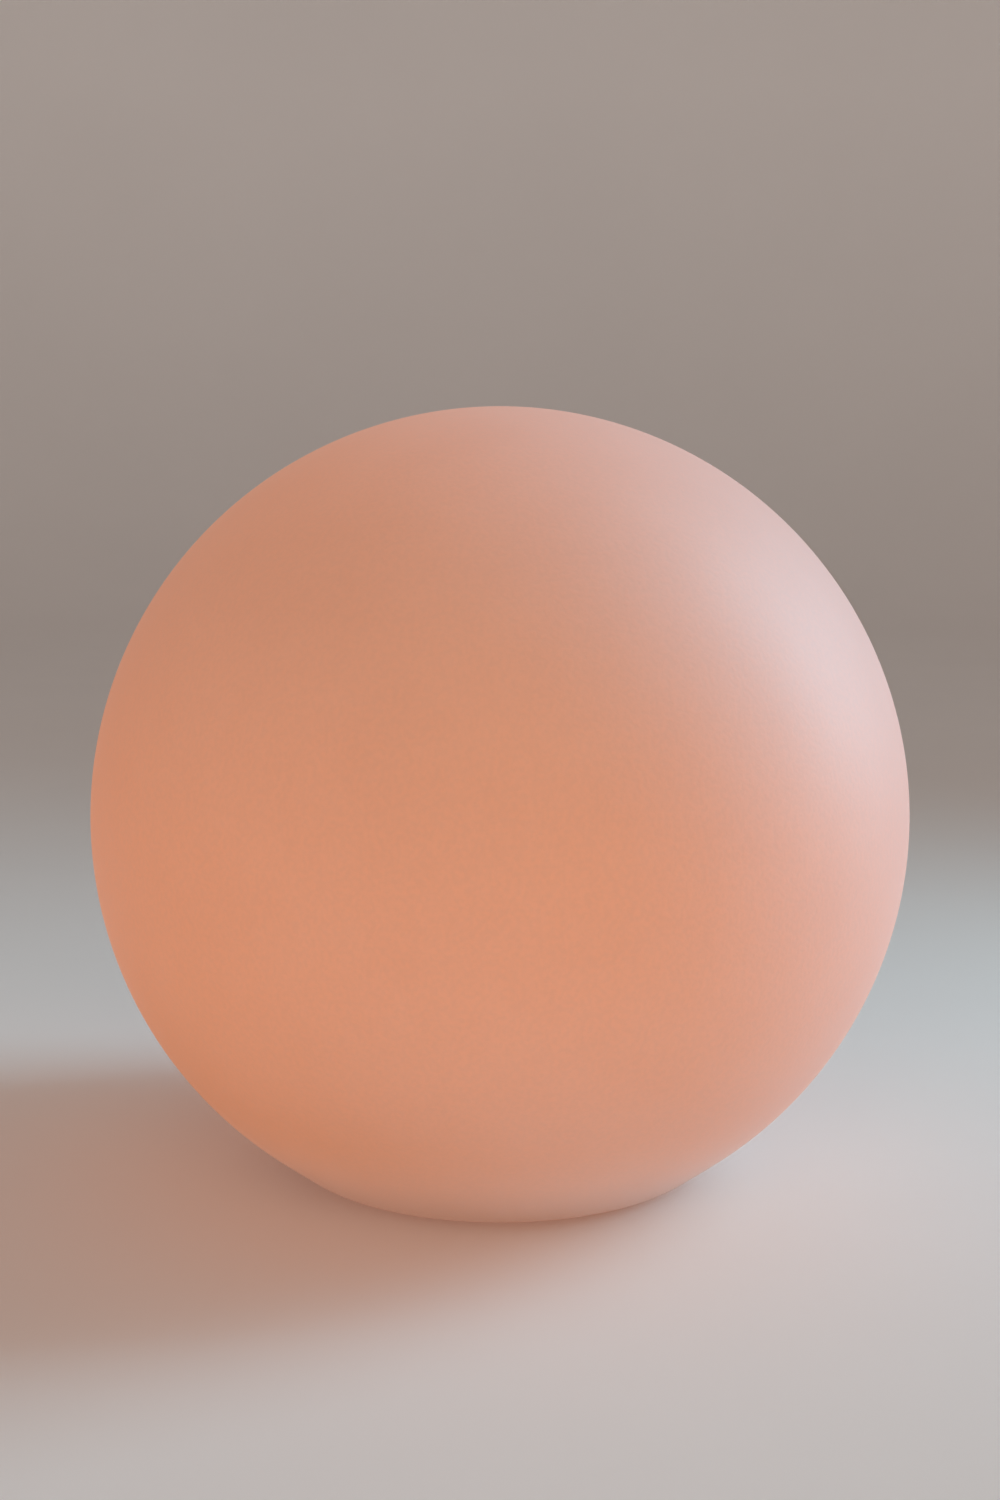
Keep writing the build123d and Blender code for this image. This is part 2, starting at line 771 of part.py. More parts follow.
# ================================================================== power button
switch_bottom = switch_board_height - 3.0
with BuildPart() as button_cap:
    with BuildSketch(Plane.XY.offset(well_floor - 1.8)):
        with Locations((button_x, button_y)):
            Circle(button_radius)
    extrude(amount=floor_top + 0.3 - well_floor + 1.8)
    fillet(button_cap.edges().group_by(Axis.Z)[0], 0.8)
    with BuildSketch(Plane.XY.offset(floor_top + 0.2)):
        with Locations((button_x, button_y)):
            Circle(button_radius + 0.9)
    extrude(amount=0.8)
    with BuildSketch(Plane.XY.offset(floor_top + 1.0)):
        with Locations((button_x, button_y)):
            Circle(1.5)
    extrude(amount=switch_bottom - 1.1 - floor_top - 1.0)
save(button_cap, "button_cap")

with BuildPart() as switch_plunger:
    with BuildSketch(Plane.XY.offset(switch_bottom - 1.1)):
        with Locations((button_x, button_y)):
            Circle(1.7)
    extrude(amount=2.6)
save(switch_plunger, "switch_plunger")

with BuildPart() as button_boot:
    with BuildSketch(Plane.XZ.offset(-button_y)):
        with BuildLine():
            Polyline(
                (button_x + button_radius + 1.1, floor_top),
                (button_x + button_radius + 2.3, floor_top),
                (button_x + button_radius + 2.3, floor_top + 2.9),
                (button_x + 1.7, floor_top + 2.9),
                (button_x + 1.7, floor_top + 2.4),
                (button_x + button_radius + 1.1, floor_top + 2.4),
                close=True,
            )
        make_face()
    revolve(axis=Axis((button_x, button_y, 0), (0, 0, 1)))
save(button_boot, "button_boot")

with BuildPart() as tact_switch:
    with BuildSketch(Plane.XY.offset(switch_bottom)):
        with Locations((button_x, button_y)):
            Rectangle(6.2, 6.2)
    extrude(amount=switch_board_height - switch_bottom)
    with BuildSketch(Plane.XY.offset(switch_bottom)):
        with Locations((button_x, button_y)):
            Circle(1.8)
    extrude(amount=1.6 + button_travel, mode=Mode.SUBTRACT)
save(tact_switch, "tact_switch")

with BuildPart() as switch_board:
    with BuildSketch(Plane.XY.offset(switch_board_height)):
        with Locations((0, switch_board_y)):
            RectangleRounded(33.6, 12.8, 1.5)
        with Locations((-switch_post_x, switch_post_y), (switch_post_x, switch_post_y)):
            Circle(1.2, mode=Mode.SUBTRACT)
    extrude(amount=switch_board_thickness)
save(switch_board, "switch_board")

switch_screw = pan_screw(head_radius=1.8, head_height=1.2, shank_radius=0.85, shank_length=5.0)
with BuildPart() as switch_board_screws:
    with Locations(
        (-switch_post_x, switch_post_y, switch_board_height + switch_board_thickness),
        (switch_post_x, switch_post_y, switch_board_height + switch_board_thickness),
    ):
        add(switch_screw)
save(switch_board_screws, "switch_board_screws")

with BuildPart() as indicator_led:
    with BuildSketch(Plane.XY.offset(switch_board_height - 1.0)):
        with Locations((lens_x, button_y)):
            Rectangle(3.2, 1.6)
    extrude(amount=1.0)
save(indicator_led, "indicator_led")

with BuildPart() as status_lens:
    with BuildSketch(Plane.XY.offset(well_floor - 0.5)):
        with Locations((lens_x, button_y)):
            Circle(lens_radius)
    extrude(amount=switch_board_height - 1.4 - well_floor + 0.5)
    with BuildSketch(Plane.XY.offset(floor_top)):
        with Locations((lens_x, button_y)):
            Circle(lens_radius + 0.7)
    extrude(amount=1.0)
    fillet(status_lens.edges().group_by(Axis.Z)[0], 0.45)
save(status_lens, "status_lens")

switch_routes = [
    lead(
        3.0, 0.5,
        (x, switch_post_y, switch_board_height + switch_board_thickness),
        (x, switch_post_y, 37.0),
        (x, 24.5, 42.0),
        (x, 24.5, board_height),
    )
    for x in (-2.0, 0.0, 2.0)
]
with BuildPart() as switch_leads:
    for route in switch_routes:
        add(route)
save(switch_leads, "switch_leads")

# ================================================================== charging port
jack_face = well_floor - 1.4
with BuildPart() as charge_jack:
    with BuildSketch(Plane.XY.offset(jack_face)):
        with Locations((0, jack_y)):
            Circle(6.0)
    extrude(amount=1.4)
    with BuildSketch(Plane.XY.offset(well_floor)):
        with Locations((0, jack_y)):
            Circle(jack_body)
    extrude(amount=14.0)
    with BuildSketch(Plane.XY.offset(jack_face)):
        with Locations((0, jack_y)):
            Circle(jack_bore)
    extrude(amount=10.4, mode=Mode.SUBTRACT)
    fillet(charge_jack.edges().group_by(Axis.Z)[0], 0.3)
    with BuildSketch(Plane.XY.offset(well_floor + 14.0)):
        with Locations((-2.2, jack_y), (2.2, jack_y)):
            Rectangle(0.6, 2.4)
    extrude(amount=3.0)
save(charge_jack, "charge_jack")

with BuildPart() as jack_pin:
    with BuildSketch(Plane.XY.offset(well_floor + 0.6)):
        with Locations((0, jack_y)):
            Circle(1.0)
    extrude(amount=jack_face + 10.4 - well_floor - 0.6)
    fillet(jack_pin.edges().group_by(Axis.Z)[0], 0.6)
save(jack_pin, "jack_pin")

with BuildPart() as jack_seal:
    with BuildSketch(Plane.XY.offset(floor_top)):
        with Locations((0, jack_y)):
            Circle(7.0)
            Circle(jack_body + 0.1, mode=Mode.SUBTRACT)
    extrude(amount=0.8)
save(jack_seal, "jack_seal")

with BuildPart() as jack_nut:
    with BuildSketch(Plane.XY.offset(floor_top + 0.8)):
        with Locations((0, jack_y)):
            RegularPolygon(7.4, 6)
            Circle(jack_body + 0.05, mode=Mode.SUBTRACT)
    extrude(amount=2.5)
save(jack_nut, "jack_nut")

jack_routes = [
    lead(
        2.0, lead_radius,
        (x, jack_y, well_floor + 17.0),
        (x, jack_y, well_floor + 20.0),
        (2 * x, jack_y + 5.0, well_floor + 23.0),
        (2 * x, jack_y + 5.0, board_height),
    )
    for x in (-2.2, 2.2)
]
with BuildPart() as jack_leads:
    for route in jack_routes:
        add(route)
save(jack_leads, "jack_leads")

# The bung: a cap over the socket's face, a hollow stem in its bore and a small pull tab.
bung_top = jack_face - 0.2
bung_bottom = bung_top - 2.6
with BuildPart() as port_bung:
    with BuildSketch(Plane.XY.offset(bung_bottom)):
        with Locations((0, jack_y)):
            Circle(bung_radius)
    extrude(amount=bung_top - bung_bottom)
    fillet(port_bung.edges().group_by(Axis.Z)[0], 1.0)
    with BuildSketch(Plane.XY.offset(bung_top)):
        with Locations((0, jack_y)):
            Circle(jack_bore - 0.2)
            Circle(1.3, mode=Mode.SUBTRACT)
    extrude(amount=4.4)
    with BuildSketch(Plane.XY.offset(bung_bottom + 1.1)):
        with Locations((-bung_radius - 1.5, jack_y)):
            RectangleRounded(5.0, 5.0, 1.2)
    extrude(amount=1.2)
save(port_bung, "port_bung")

# The strap runs from the bung's edge to a barbed pin, which slides in a hole in the well's floor.
with BuildPart() as bung_strap:
    with BuildSketch(Plane.XY.offset(bung_bottom + 1.1)):
        with Locations(((bung_radius + anchor_x) / 2, jack_y)):
            Rectangle(anchor_x - bung_radius, 3.4)
        with Locations((anchor_x, jack_y)):
            Circle(2.9)
        with Locations((0, jack_y)):
            Circle(bung_radius, mode=Mode.SUBTRACT)
    extrude(amount=1.2)
    with BuildSketch(Plane.XY.offset(bung_bottom + 2.3)):
        with Locations((anchor_x, jack_y)):
            Circle(2.9)
    extrude(amount=well_floor - bung_bottom - 2.3)
    with BuildSketch(Plane.XY.offset(well_floor)):
        with Locations((anchor_x, jack_y)):
            Circle(1.5)
    extrude(amount=floor_thickness + bung_travel + 0.2)
    with BuildSketch(Plane.XY.offset(floor_top + bung_travel + 0.2)):
        with Locations((anchor_x, jack_y)):
            Circle(2.3)
    extrude(amount=1.6)
    chamfer(bung_strap.edges().group_by(Axis.Z)[-1], 0.8)
save(bung_strap, "bung_strap")

for name, piece in (("globe_shell", globe_shell), ("neck_collar", neck_collar), ("base_housing", base_housing)):
    print(name, "volume", round(piece.part.volume / 1000, 1), "cm3")
print("ball's foot tangent at", round(tangent_angle, 2), "degrees from straight down")
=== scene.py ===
"""Looks of the garden globe light: a satin polyethylene ball that glows peach over a sealed light base.

Metres, +Z up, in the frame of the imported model. The ball, the lamp's dome, the housing, the pads and the
button are modelled here as fine surfaces over their solids. Every other piece is its solid with a finish of
its own.
"""

import math

import bpy
import numpy as np
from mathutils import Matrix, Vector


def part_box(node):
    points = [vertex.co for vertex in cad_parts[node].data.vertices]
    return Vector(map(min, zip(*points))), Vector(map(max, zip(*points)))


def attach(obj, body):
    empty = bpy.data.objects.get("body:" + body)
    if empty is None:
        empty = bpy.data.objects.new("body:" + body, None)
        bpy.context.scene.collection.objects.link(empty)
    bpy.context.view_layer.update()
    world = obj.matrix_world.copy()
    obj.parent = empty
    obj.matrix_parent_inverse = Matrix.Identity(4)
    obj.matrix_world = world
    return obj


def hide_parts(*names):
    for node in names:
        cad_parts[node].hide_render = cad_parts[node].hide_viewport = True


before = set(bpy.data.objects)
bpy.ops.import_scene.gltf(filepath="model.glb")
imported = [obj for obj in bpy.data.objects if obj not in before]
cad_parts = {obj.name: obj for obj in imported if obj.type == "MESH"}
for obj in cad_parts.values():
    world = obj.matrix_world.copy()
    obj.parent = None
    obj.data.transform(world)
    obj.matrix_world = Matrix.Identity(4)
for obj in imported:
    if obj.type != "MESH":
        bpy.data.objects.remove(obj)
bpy.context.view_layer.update()  # the fixed frame: bodies, nodes, joints and the record

bl_info = {
    "name": "Garden globe light",
    "version": (1, 0, 0),
    "blender": (4, 5, 0),
    "location": "3D Viewport > Sidebar > Globe Light",
    "description": "Builds the looks of a glowing garden ball light around its packed model",
    "category": "Object",
}

MM = 0.001

# Places that the surfaces and patterns are set out from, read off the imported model.
BALL_LOW, BALL_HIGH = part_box("globe_shell")
DOME_LOW, DOME_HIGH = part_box("light_dome")
HOUSING_LOW, HOUSING_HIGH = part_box("base_housing")
PAD_LOW, PAD_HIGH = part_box("foot_pads")
CAP_LOW, CAP_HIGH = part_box("button_cap")
CELLS_LOW, CELLS_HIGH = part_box("battery_cells")
CHIPS_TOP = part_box("led_chips")[1].z
BALL_RADIUS = (BALL_HIGH.x - BALL_LOW.x) / 2
BALL_CENTRE = BALL_HIGH.z - BALL_RADIUS
NECK_TOP, OVER_NECK = 36.0 * MM, 37.0 * MM  # the neck's upper edge, and a height just clear of it


def linear(colour):
    """A written sRGB colour such as "#C8A090" as linear red, green, blue and alpha."""
    value = np.array([int(colour[i : i + 2], 16) for i in (1, 3, 5)]) / 255.0
    value = np.where(value <= 0.04045, value / 12.92, ((value + 0.055) / 1.055) ** 2.4)
    return (*value.tolist(), 1.0)


# ------------------------------------------------------------------ sizes and colours for the user
class BallSettings(bpy.types.PropertyGroup):
    """Sizes and glow of the ball."""

    wall: bpy.props.FloatProperty(
        name="Wall", description="Thickness of the ball's wall", default=3.0 * MM, unit="LENGTH"
    )
    foot_radius: bpy.props.FloatProperty(
        name="Foot radius", description="Radius at which the flat foot starts to turn up",
        default=88.0 * MM, unit="LENGTH",
    )
    foot_round: bpy.props.FloatProperty(
        name="Foot rounding", description="Radius of the foot's rounded edge",
        default=30.0 * MM, unit="LENGTH",
    )
    glow_colour: bpy.props.FloatVectorProperty(
        name="Glow", description="Colour of the light that comes through the wall",
        subtype="COLOR", size=3, min=0.0, max=1.0, default=linear("#FF8C44")[:3],
    )
    foot_colour: bpy.props.FloatVectorProperty(
        name="Foot glow", description="Colour of the light at the foot, where the lamp is nearest",
        subtype="COLOR", size=3, min=0.0, max=1.0, default=linear("#FFAD8B")[:3],
    )
    glow_strength: bpy.props.FloatProperty(
        name="Glow strength", description="How brightly the ball is lit from inside", default=0.52, min=0.0
    )


class BaseSettings(bpy.types.PropertyGroup):
    """Sizes of the light base that its fine surfaces need, and the glow of its lamp."""

    dome_wall: bpy.props.FloatProperty(
        name="Dome wall", description="Thickness of the lamp's dome", default=2.0 * MM, unit="LENGTH"
    )
    dome_sphere: bpy.props.FloatProperty(
        name="Dome sphere", description="Outer radius of the dome's sphere", default=50.0 * MM, unit="LENGTH"
    )
    dome_foot_radius: bpy.props.FloatProperty(
        name="Dome foot", description="Radius at which the dome meets its flange",
        default=47.4 * MM, unit="LENGTH",
    )
    dome_flange: bpy.props.FloatProperty(
        name="Dome flange", description="Thickness of the dome's flange", default=2.5 * MM, unit="LENGTH"
    )
    dome_glow: bpy.props.FloatProperty(
        name="Dome glow", description="How brightly the lamp's dome is lit", default=0.7, min=0.0
    )
    thread_lead: bpy.props.FloatProperty(
        name="Thread lead", description="Rise of the coarse thread in one turn",
        default=24.0 * MM, unit="LENGTH",
    )
    thread_starts: bpy.props.IntProperty(
        name="Thread starts", description="Number of thread ridges round the housing", default=4, min=1
    )
    pad_radius: bpy.props.FloatProperty(
        name="Pad radius", description="Radius of each rubber pad", default=7.0 * MM, unit="LENGTH"
    )


class StageSettings(bpy.types.PropertyGroup):
    """The camera and the lamps."""

    camera_distance: bpy.props.FloatProperty(
        name="Camera distance", description="From the lens to the ball's centre", default=1.037, unit="LENGTH"
    )
    camera_elevation: bpy.props.FloatProperty(
        name="Camera elevation", description="Angle of the lens above the ball's centre",
        default=math.radians(10.1), subtype="ANGLE",
    )
    camera_lift: bpy.props.FloatProperty(
        name="Camera lift", description="Angle by which the lens points above the ball's centre",
        default=math.radians(1.746), subtype="ANGLE",
    )
    focal_length: bpy.props.FloatProperty(
        name="Focal length", description="Of the lens, in millimetres on a 36 mm long side", default=50.0
    )
    key_power: bpy.props.FloatProperty(
        name="Key lamp", description="Power of the key lamp", default=7.4, unit="POWER"
    )
    fill_power: bpy.props.FloatProperty(
        name="Fill lamp", description="Power of the soft front lamp", default=4.5, unit="POWER"
    )
    sky: bpy.props.FloatProperty(
        name="Sky", description="Strength of the even light all round", default=0.32, min=0.0
    )


# ------------------------------------------------------------------ small tools
def add_node(tree, kind, links=None, values=None, **settings):
    """Adds one shader node. Settings are its own properties. Links and values feed and fill its sockets,
    which are named, or counted where two have one name."""
    made = tree.nodes.new(kind)
    for name, value in settings.items():
        setattr(made, name, value)
    for socket, value in (values or {}).items():
        made.inputs[socket].default_value = value
    for socket, source in (links or {}).items():
        tree.links.new(source, made.inputs[socket])
    return made


def put_mesh(name, points, faces, body, material, stands_for=(), slot=None):
    """Makes one finished piece at the origin, smooth but for its sharp edges."""
    mesh = bpy.data.meshes.new(name)
    mesh.from_pydata(points.tolist(), [], faces)
    mesh.shade_smooth()
    mesh.set_sharp_from_angle(angle=math.radians(32))
    mesh.materials.append(material)
    piece = bpy.data.objects.new(name, mesh)
    bpy.context.scene.collection.objects.link(piece)
    if body:
        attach(piece, body)
    if stands_for:
        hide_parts(*stands_for)
    return piece


def finish_nodes(material, *names):
    """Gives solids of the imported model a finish, in place of the plain one they came with."""
    for name in names:
        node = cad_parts[name]
        node.data.materials.clear()
        node.data.materials.append(material)


# ------------------------------------------------------------------ surfaces
def arc(centre_r, centre_z, radius, start, end, steps):
    """Points on a circle in the outline's plane, evenly spaced by angle, in degrees from +r towards +z."""
    angle = np.radians(np.linspace(start, end, steps))
    return np.stack([centre_r + radius * np.cos(angle), centre_z + radius * np.sin(angle)], -1)


def outline_of(*stretches):
    """Joins single points and stretches end to end, without the points that repeat the one before."""
    points = np.concatenate([np.atleast_2d(stretch) for stretch in stretches])
    apart = np.linalg.norm(np.diff(points, axis=0), axis=1) > 1e-7
    return points[np.concatenate([[True], apart])]


def turned(outline, segments):
    """Surface of revolution about Z: at share s along the outline and turn t the point is
    (r(s) cos t, r(s) sin t, z(s)). An end on the axis is closed by a pole, and an outline with neither end
    there is joined end to start. Closed forms face outwards whichever way the outline runs. An open one
    faces to the left of its outline, as that is drawn with +r to the right and +z up."""
    outline = np.array(outline, float)
    starts, stops = outline[0, 0] < 1e-7, outline[-1, 0] < 1e-7
    r, z = outline.T
    if starts == stops and np.sum(r * np.roll(z, -1) - np.roll(r, -1) * z) > 0:
        outline = outline[::-1]
    rings = outline[int(starts) : len(outline) - int(stops)]
    turn = np.linspace(0, 2 * math.pi, segments, endpoint=False)
    height = np.broadcast_to(rings[:, 1:], (len(rings), segments))
    points = np.stack([rings[:, :1] * np.cos(turn), rings[:, :1] * np.sin(turn), height], -1).reshape(-1, 3)
    rows = np.arange(len(rings) if not (starts or stops) else len(rings) - 1)[:, None]
    here = rows * segments + np.arange(segments)
    after = (rows + 1) % len(rings) * segments + np.arange(segments)
    faces = np.stack([here, after, np.roll(after, -1, 1), np.roll(here, -1, 1)], -1).reshape(-1, 4).tolist()
    edge = np.arange(segments)
    if starts:
        faces += np.stack([np.full(segments, len(points)), edge, np.roll(edge, -1)], -1).tolist()
        points = np.concatenate([points, [[0, 0, outline[0, 1]]]])
    if stops:
        edge = edge + (len(rings) - 1) * segments
        faces += np.stack([np.full(segments, len(points)), np.roll(edge, -1), edge], -1).tolist()
        points = np.concatenate([points, [[0, 0, outline[-1, 1]]]])
    return points, faces


def carried(section, path, across, along):
    """A closed section carried along an open path: at path share s and section share c the point is
    path(s) + x(c) across(s) + y(c) along(s). Both ends are capped. The section runs clockwise as it is seen
    looking the way that the path goes, with across to the right and along upwards."""
    points = path[:, None] + section[..., :1] * across[:, None] + section[..., 1:] * along[:, None]
    steps, count = points.shape[:2]
    here = np.arange(steps - 1)[:, None] * count + np.arange(count)
    side = np.roll(here, -1, 1)
    faces = np.stack([here, here + count, side + count, side], -1).reshape(-1, 4).tolist()
    last = (steps - 1) * count
    faces += [list(range(count)), list(range(last + count - 1, last - 1, -1))]
    return points.reshape(-1, 3), faces


def helical_ridge(root, crest, low, lead, sweep, root_width, crest_width, sink, start):
    """One thread ridge: a trapezoid carried up a right-hand helix, whose turn at share s is start plus s
    times the sweep and whose height is low plus the lead for each full turn. Over the last tenth at each
    end it sinks into the wall by a smoothstep, as a moulded thread runs out."""
    share = np.linspace(0, 1, 73)
    turn = start + share * sweep
    ease = np.clip(np.minimum(share, 1 - share) / 0.1, 0, 1)
    ease = ease * ease * (3 - 2 * ease)
    foot = sink / 2 * (ease - 1)
    top = foot + (crest - root) * ease
    flat = np.zeros_like(share)
    reach = np.stack([flat - sink, foot, top, top, foot, flat - sink], -1)
    half = np.array([-root_width, -root_width, -crest_width, crest_width, root_width, root_width]) / 2
    section = np.stack([reach, np.broadcast_to(half, reach.shape)], -1)
    outward = np.stack([np.cos(turn), np.sin(turn), flat], -1)
    upward = np.broadcast_to([0.0, 0.0, 1.0], outward.shape)
    path = root * outward + (low + lead * share * sweep / (2 * math.pi))[:, None] * upward
    return carried(section, path, outward, upward)


def gathered(parts):
    """Joins several (points, faces) pairs, each counted from zero, into one."""
    counts = np.cumsum([0] + [len(points) for points, _ in parts])
    faces = [[i + count for i in face] for (_, each), count in zip(parts, counts) for face in each]
    return np.concatenate([points for points, _ in parts]), faces


# ------------------------------------------------------------------ finishes
def new_finish(name, **sockets):
    """An empty material, its shader, whose sockets may be given by name, and Object coordinates in metres."""
    material = bpy.data.materials.new(name)
    material.use_nodes = True
    tree = material.node_tree
    tree.nodes.clear()
    values = {socket.replace("_", " "): value for socket, value in sockets.items()}
    shader = add_node(tree, "ShaderNodeBsdfPrincipled", values=values)
    add_node(tree, "ShaderNodeOutputMaterial", {"Surface": shader.outputs["BSDF"]})
    place = add_node(tree, "ShaderNodeTexCoord").outputs["Object"]
    return material, tree, shader, place


def ramp_of(tree, source, stops, interpolation="LINEAR"):
    """A colour ramp over a number from 0 to 1. Each stop is a position and a written colour, a linear one
    or a grey level."""
    ramp = add_node(tree, "ShaderNodeValToRGB", {"Fac": source})
    ramp.color_ramp.interpolation = interpolation
    elements = ramp.color_ramp.elements
    for _ in range(len(stops) - 2):
        elements.new(0.5)
    for element, (position, value) in zip(elements, stops):
        element.position = position
        if isinstance(value, str):
            value = linear(value)
        elif isinstance(value, float):
            value = (value, value, value, 1.0)
        element.color = value
    return ramp.outputs["Color"]


def span(tree, source, low, high, out_low=0.0, out_high=1.0):
    """A number carried from one range to another and kept inside it."""
    made = add_node(
        tree, "ShaderNodeMapRange", {"Value": source},
        {"From Min": low, "From Max": high, "To Min": out_low, "To Max": out_high},
    )
    return made.outputs["Result"]


def product(tree, *sources):
    """Several numbers multiplied together, where each is a socket or a plain number."""
    total = sources[0]
    for source in sources[1:]:
        step = add_node(tree, "ShaderNodeMath", {0: total}, operation="MULTIPLY")
        if isinstance(source, float):
            step.inputs[1].default_value = source
        else:
            tree.links.new(source, step.inputs[1])
        total = step.outputs[0]
    return total


def grained(tree, shader, place, grain, depth, roughness, spread=0.06, relief=None):
    """The fine grain of a moulded, cast or rolled skin, in its gloss and in its surface, unless the surface
    has a relief of its own. Grain is the size of its features and depth their depth, in metres."""
    fine = add_node(tree, "ShaderNodeTexNoise", {"Vector": place}, {"Scale": 1 / grain, "Detail": 2.0})
    gloss = span(tree, fine.outputs["Fac"], 0.3, 0.7, roughness - spread, roughness + spread)
    tree.links.new(gloss, shader.inputs["Roughness"])
    height = fine.outputs["Fac"] if relief is None else relief
    bump = add_node(tree, "ShaderNodeBump", {"Height": height}, {"Distance": depth})
    tree.links.new(bump.outputs["Normal"], shader.inputs["Normal"])
    return fine.outputs["Fac"]


def clouded(tree, shader, place, colours, patch):
    """Two close colours in soft patches, whose size is given in metres."""
    patches = add_node(
        tree, "ShaderNodeTexNoise", {"Vector": place}, {"Scale": 1 / patch, "Detail": 4.0, "Roughness": 0.55}
    )
    shades = ramp_of(tree, patches.outputs["Fac"], ((0.3, colours[0]), (0.7, colours[1])))
    tree.links.new(shades, shader.inputs["Base Color"])


def rotomoulded_polyethylene(settings):
    """Natural low-density polyethylene, rotationally moulded in a smooth mould and lit from inside. The
    milky wall throws daylight back slightly cool and lets a peach glow through, strongest low down, nearest
    the lamp. The eye sees a satin skin with a powdery grain, faint clouds where the wall's thickness
    drifts, and a few dark specks."""
    material, tree, shader, place = new_finish("rotomoulded_polyethylene", IOR=1.51, Specular_IOR_Level=0.2)
    # The mould's stipple is drawn at 2.2 mm, twice as coarse as the real one, so that it shows.
    fine = grained(tree, shader, place, 2.2 * MM, 0.085 * MM, 0.52, 0.04)
    clouded(tree, shader, place, ("#A2A6A8", "#A7ABAD"), 70 * MM)
    # The wall's own skin holds back light that leaves it at a shallow angle, so the ball's edge is darker.
    shader.inputs["Coat Weight"].default_value = 1.0
    shader.inputs["Coat Roughness"].default_value = 0.65
    shader.inputs["Coat IOR"].default_value = 1.5
    # The glow by height, from the foot at 0 to the crown at 1.
    height = add_node(tree, "ShaderNodeSeparateXYZ", {"Vector": place}).outputs["Z"]
    share = span(tree, height, BALL_LOW.z, BALL_HIGH.z)
    levels = ((0.0, 0.45), (0.08, 0.70), (0.20, 0.87), (0.36, 1.0), (0.55, 0.963), (0.78, 0.825), (1.0, 0.86))
    by_height = ramp_of(tree, share, levels, "CARDINAL")
    # The wall drifts by a few hundredths over a hand's breadth, and the powder by as much over a millimetre.
    drift = add_node(tree, "ShaderNodeTexNoise", {"Vector": place}, {"Scale": 1 / (90 * MM), "Detail": 3.0})
    clouds = span(tree, drift.outputs["Fac"], 0.25, 0.75, 0.985, 1.015)
    powder = span(tree, fine, 0.34, 0.66, 0.96, 1.04)
    # Specks of scorched powder about a millimetre across, in one of every five cells of a 34 mm scatter.
    cells = add_node(tree, "ShaderNodeTexVoronoi", {"Vector": place}, {"Scale": 1 / (34 * MM)})
    spot = span(tree, cells.outputs["Distance"], 0.010, 0.022, 0.88, 1.0)
    pick = add_node(tree, "ShaderNodeSeparateColor", {"Color": cells.outputs["Color"]}).outputs["Red"]
    blank = add_node(tree, "ShaderNodeMath", {0: pick}, {1: 0.2}, operation="GREATER_THAN").outputs[0]
    specks = add_node(tree, "ShaderNodeMath", {0: spot, 1: blank}, operation="MAXIMUM").outputs[0]
    # Above the neck the wall's inner face looks straight at the lamp, so there it is brighter and paler.
    away = add_node(
        tree, "ShaderNodeVectorMath", {0: place}, {1: (0.0, 0.0, BALL_CENTRE)}, operation="DISTANCE"
    ).outputs["Value"]
    within = span(tree, away, BALL_RADIUS - 0.6 * settings.wall, BALL_RADIUS - 0.4 * settings.wall, 1.0, 0.0)
    over = add_node(tree, "ShaderNodeMath", {0: height}, {1: OVER_NECK}, operation="GREATER_THAN").outputs[0]
    inner = product(tree, within, over)
    boost = span(tree, inner, 0.0, 1.0, 1.0, 1.35)
    level = product(tree, by_height, clouds, powder, specks, boost, settings.glow_strength)
    tree.links.new(level, shader.inputs["Emission Strength"])
    # The glow is paler at the foot, and palest on the inner face, which takes the ramp's last tenth.
    outer = product(tree, share, 0.9)
    tint = add_node(tree, "ShaderNodeMath", {0: outer, 1: inner}, operation="MAXIMUM").outputs[0]
    foot, glow = (*settings.foot_colour, 1.0), (*settings.glow_colour, 1.0)
    colour = ramp_of(tree, tint, ((0.0, foot), (0.144, glow), (0.92, glow), (1.0, "#FFD0AC")), "EASE")
    tree.links.new(colour, shader.inputs["Emission Color"])
    return material


def opal_acrylic(settings):
    """Opal acrylic, injection-moulded and lit from inside: glossy, creamy, brightest over the lamp's middle
    and dimmer towards the flange, where no light falls on it."""
    material, tree, shader, place = new_finish("opal_acrylic", IOR=1.49)
    grained(tree, shader, place, 0.8 * MM, 0.004 * MM, 0.22, 0.02)
    clouded(tree, shader, place, ("#F0E6DE", "#F5ECE4"), 30 * MM)
    height = add_node(tree, "ShaderNodeSeparateXYZ", {"Vector": place}).outputs["Z"]
    share = span(tree, height, DOME_LOW.z, DOME_HIGH.z)
    by_height = ramp_of(tree, share, ((0.0, 0.12), (0.09, 0.22), (0.3, 0.62), (1.0, 1.0)), "EASE")
    tree.links.new(product(tree, by_height, settings.dome_glow), shader.inputs["Emission Strength"])
    shader.inputs["Emission Color"].default_value = linear("#FFC298")
    return material


def frosted_acrylic():
    """Clear acrylic light pipe, injection-moulded with a frosted face: pale, and evenly filled with light."""
    material, tree, shader, place = new_finish("frosted_acrylic", IOR=1.49, Transmission_Weight=0.7)
    grained(tree, shader, place, 0.3 * MM, 0.004 * MM, 0.3)
    clouded(tree, shader, place, ("#D3DAD6", "#DAE1DD"), 2 * MM)
    return material


def moulded(name, colours, roughness, grain, depth, ior):
    """Plastic as moulding leaves it: nearly even in colour, with the fine texture of the tool's steel."""
    material, tree, shader, place = new_finish(name, IOR=ior)
    grained(tree, shader, place, grain, depth, roughness)
    clouded(tree, shader, place, colours, 25 * MM)
    return material


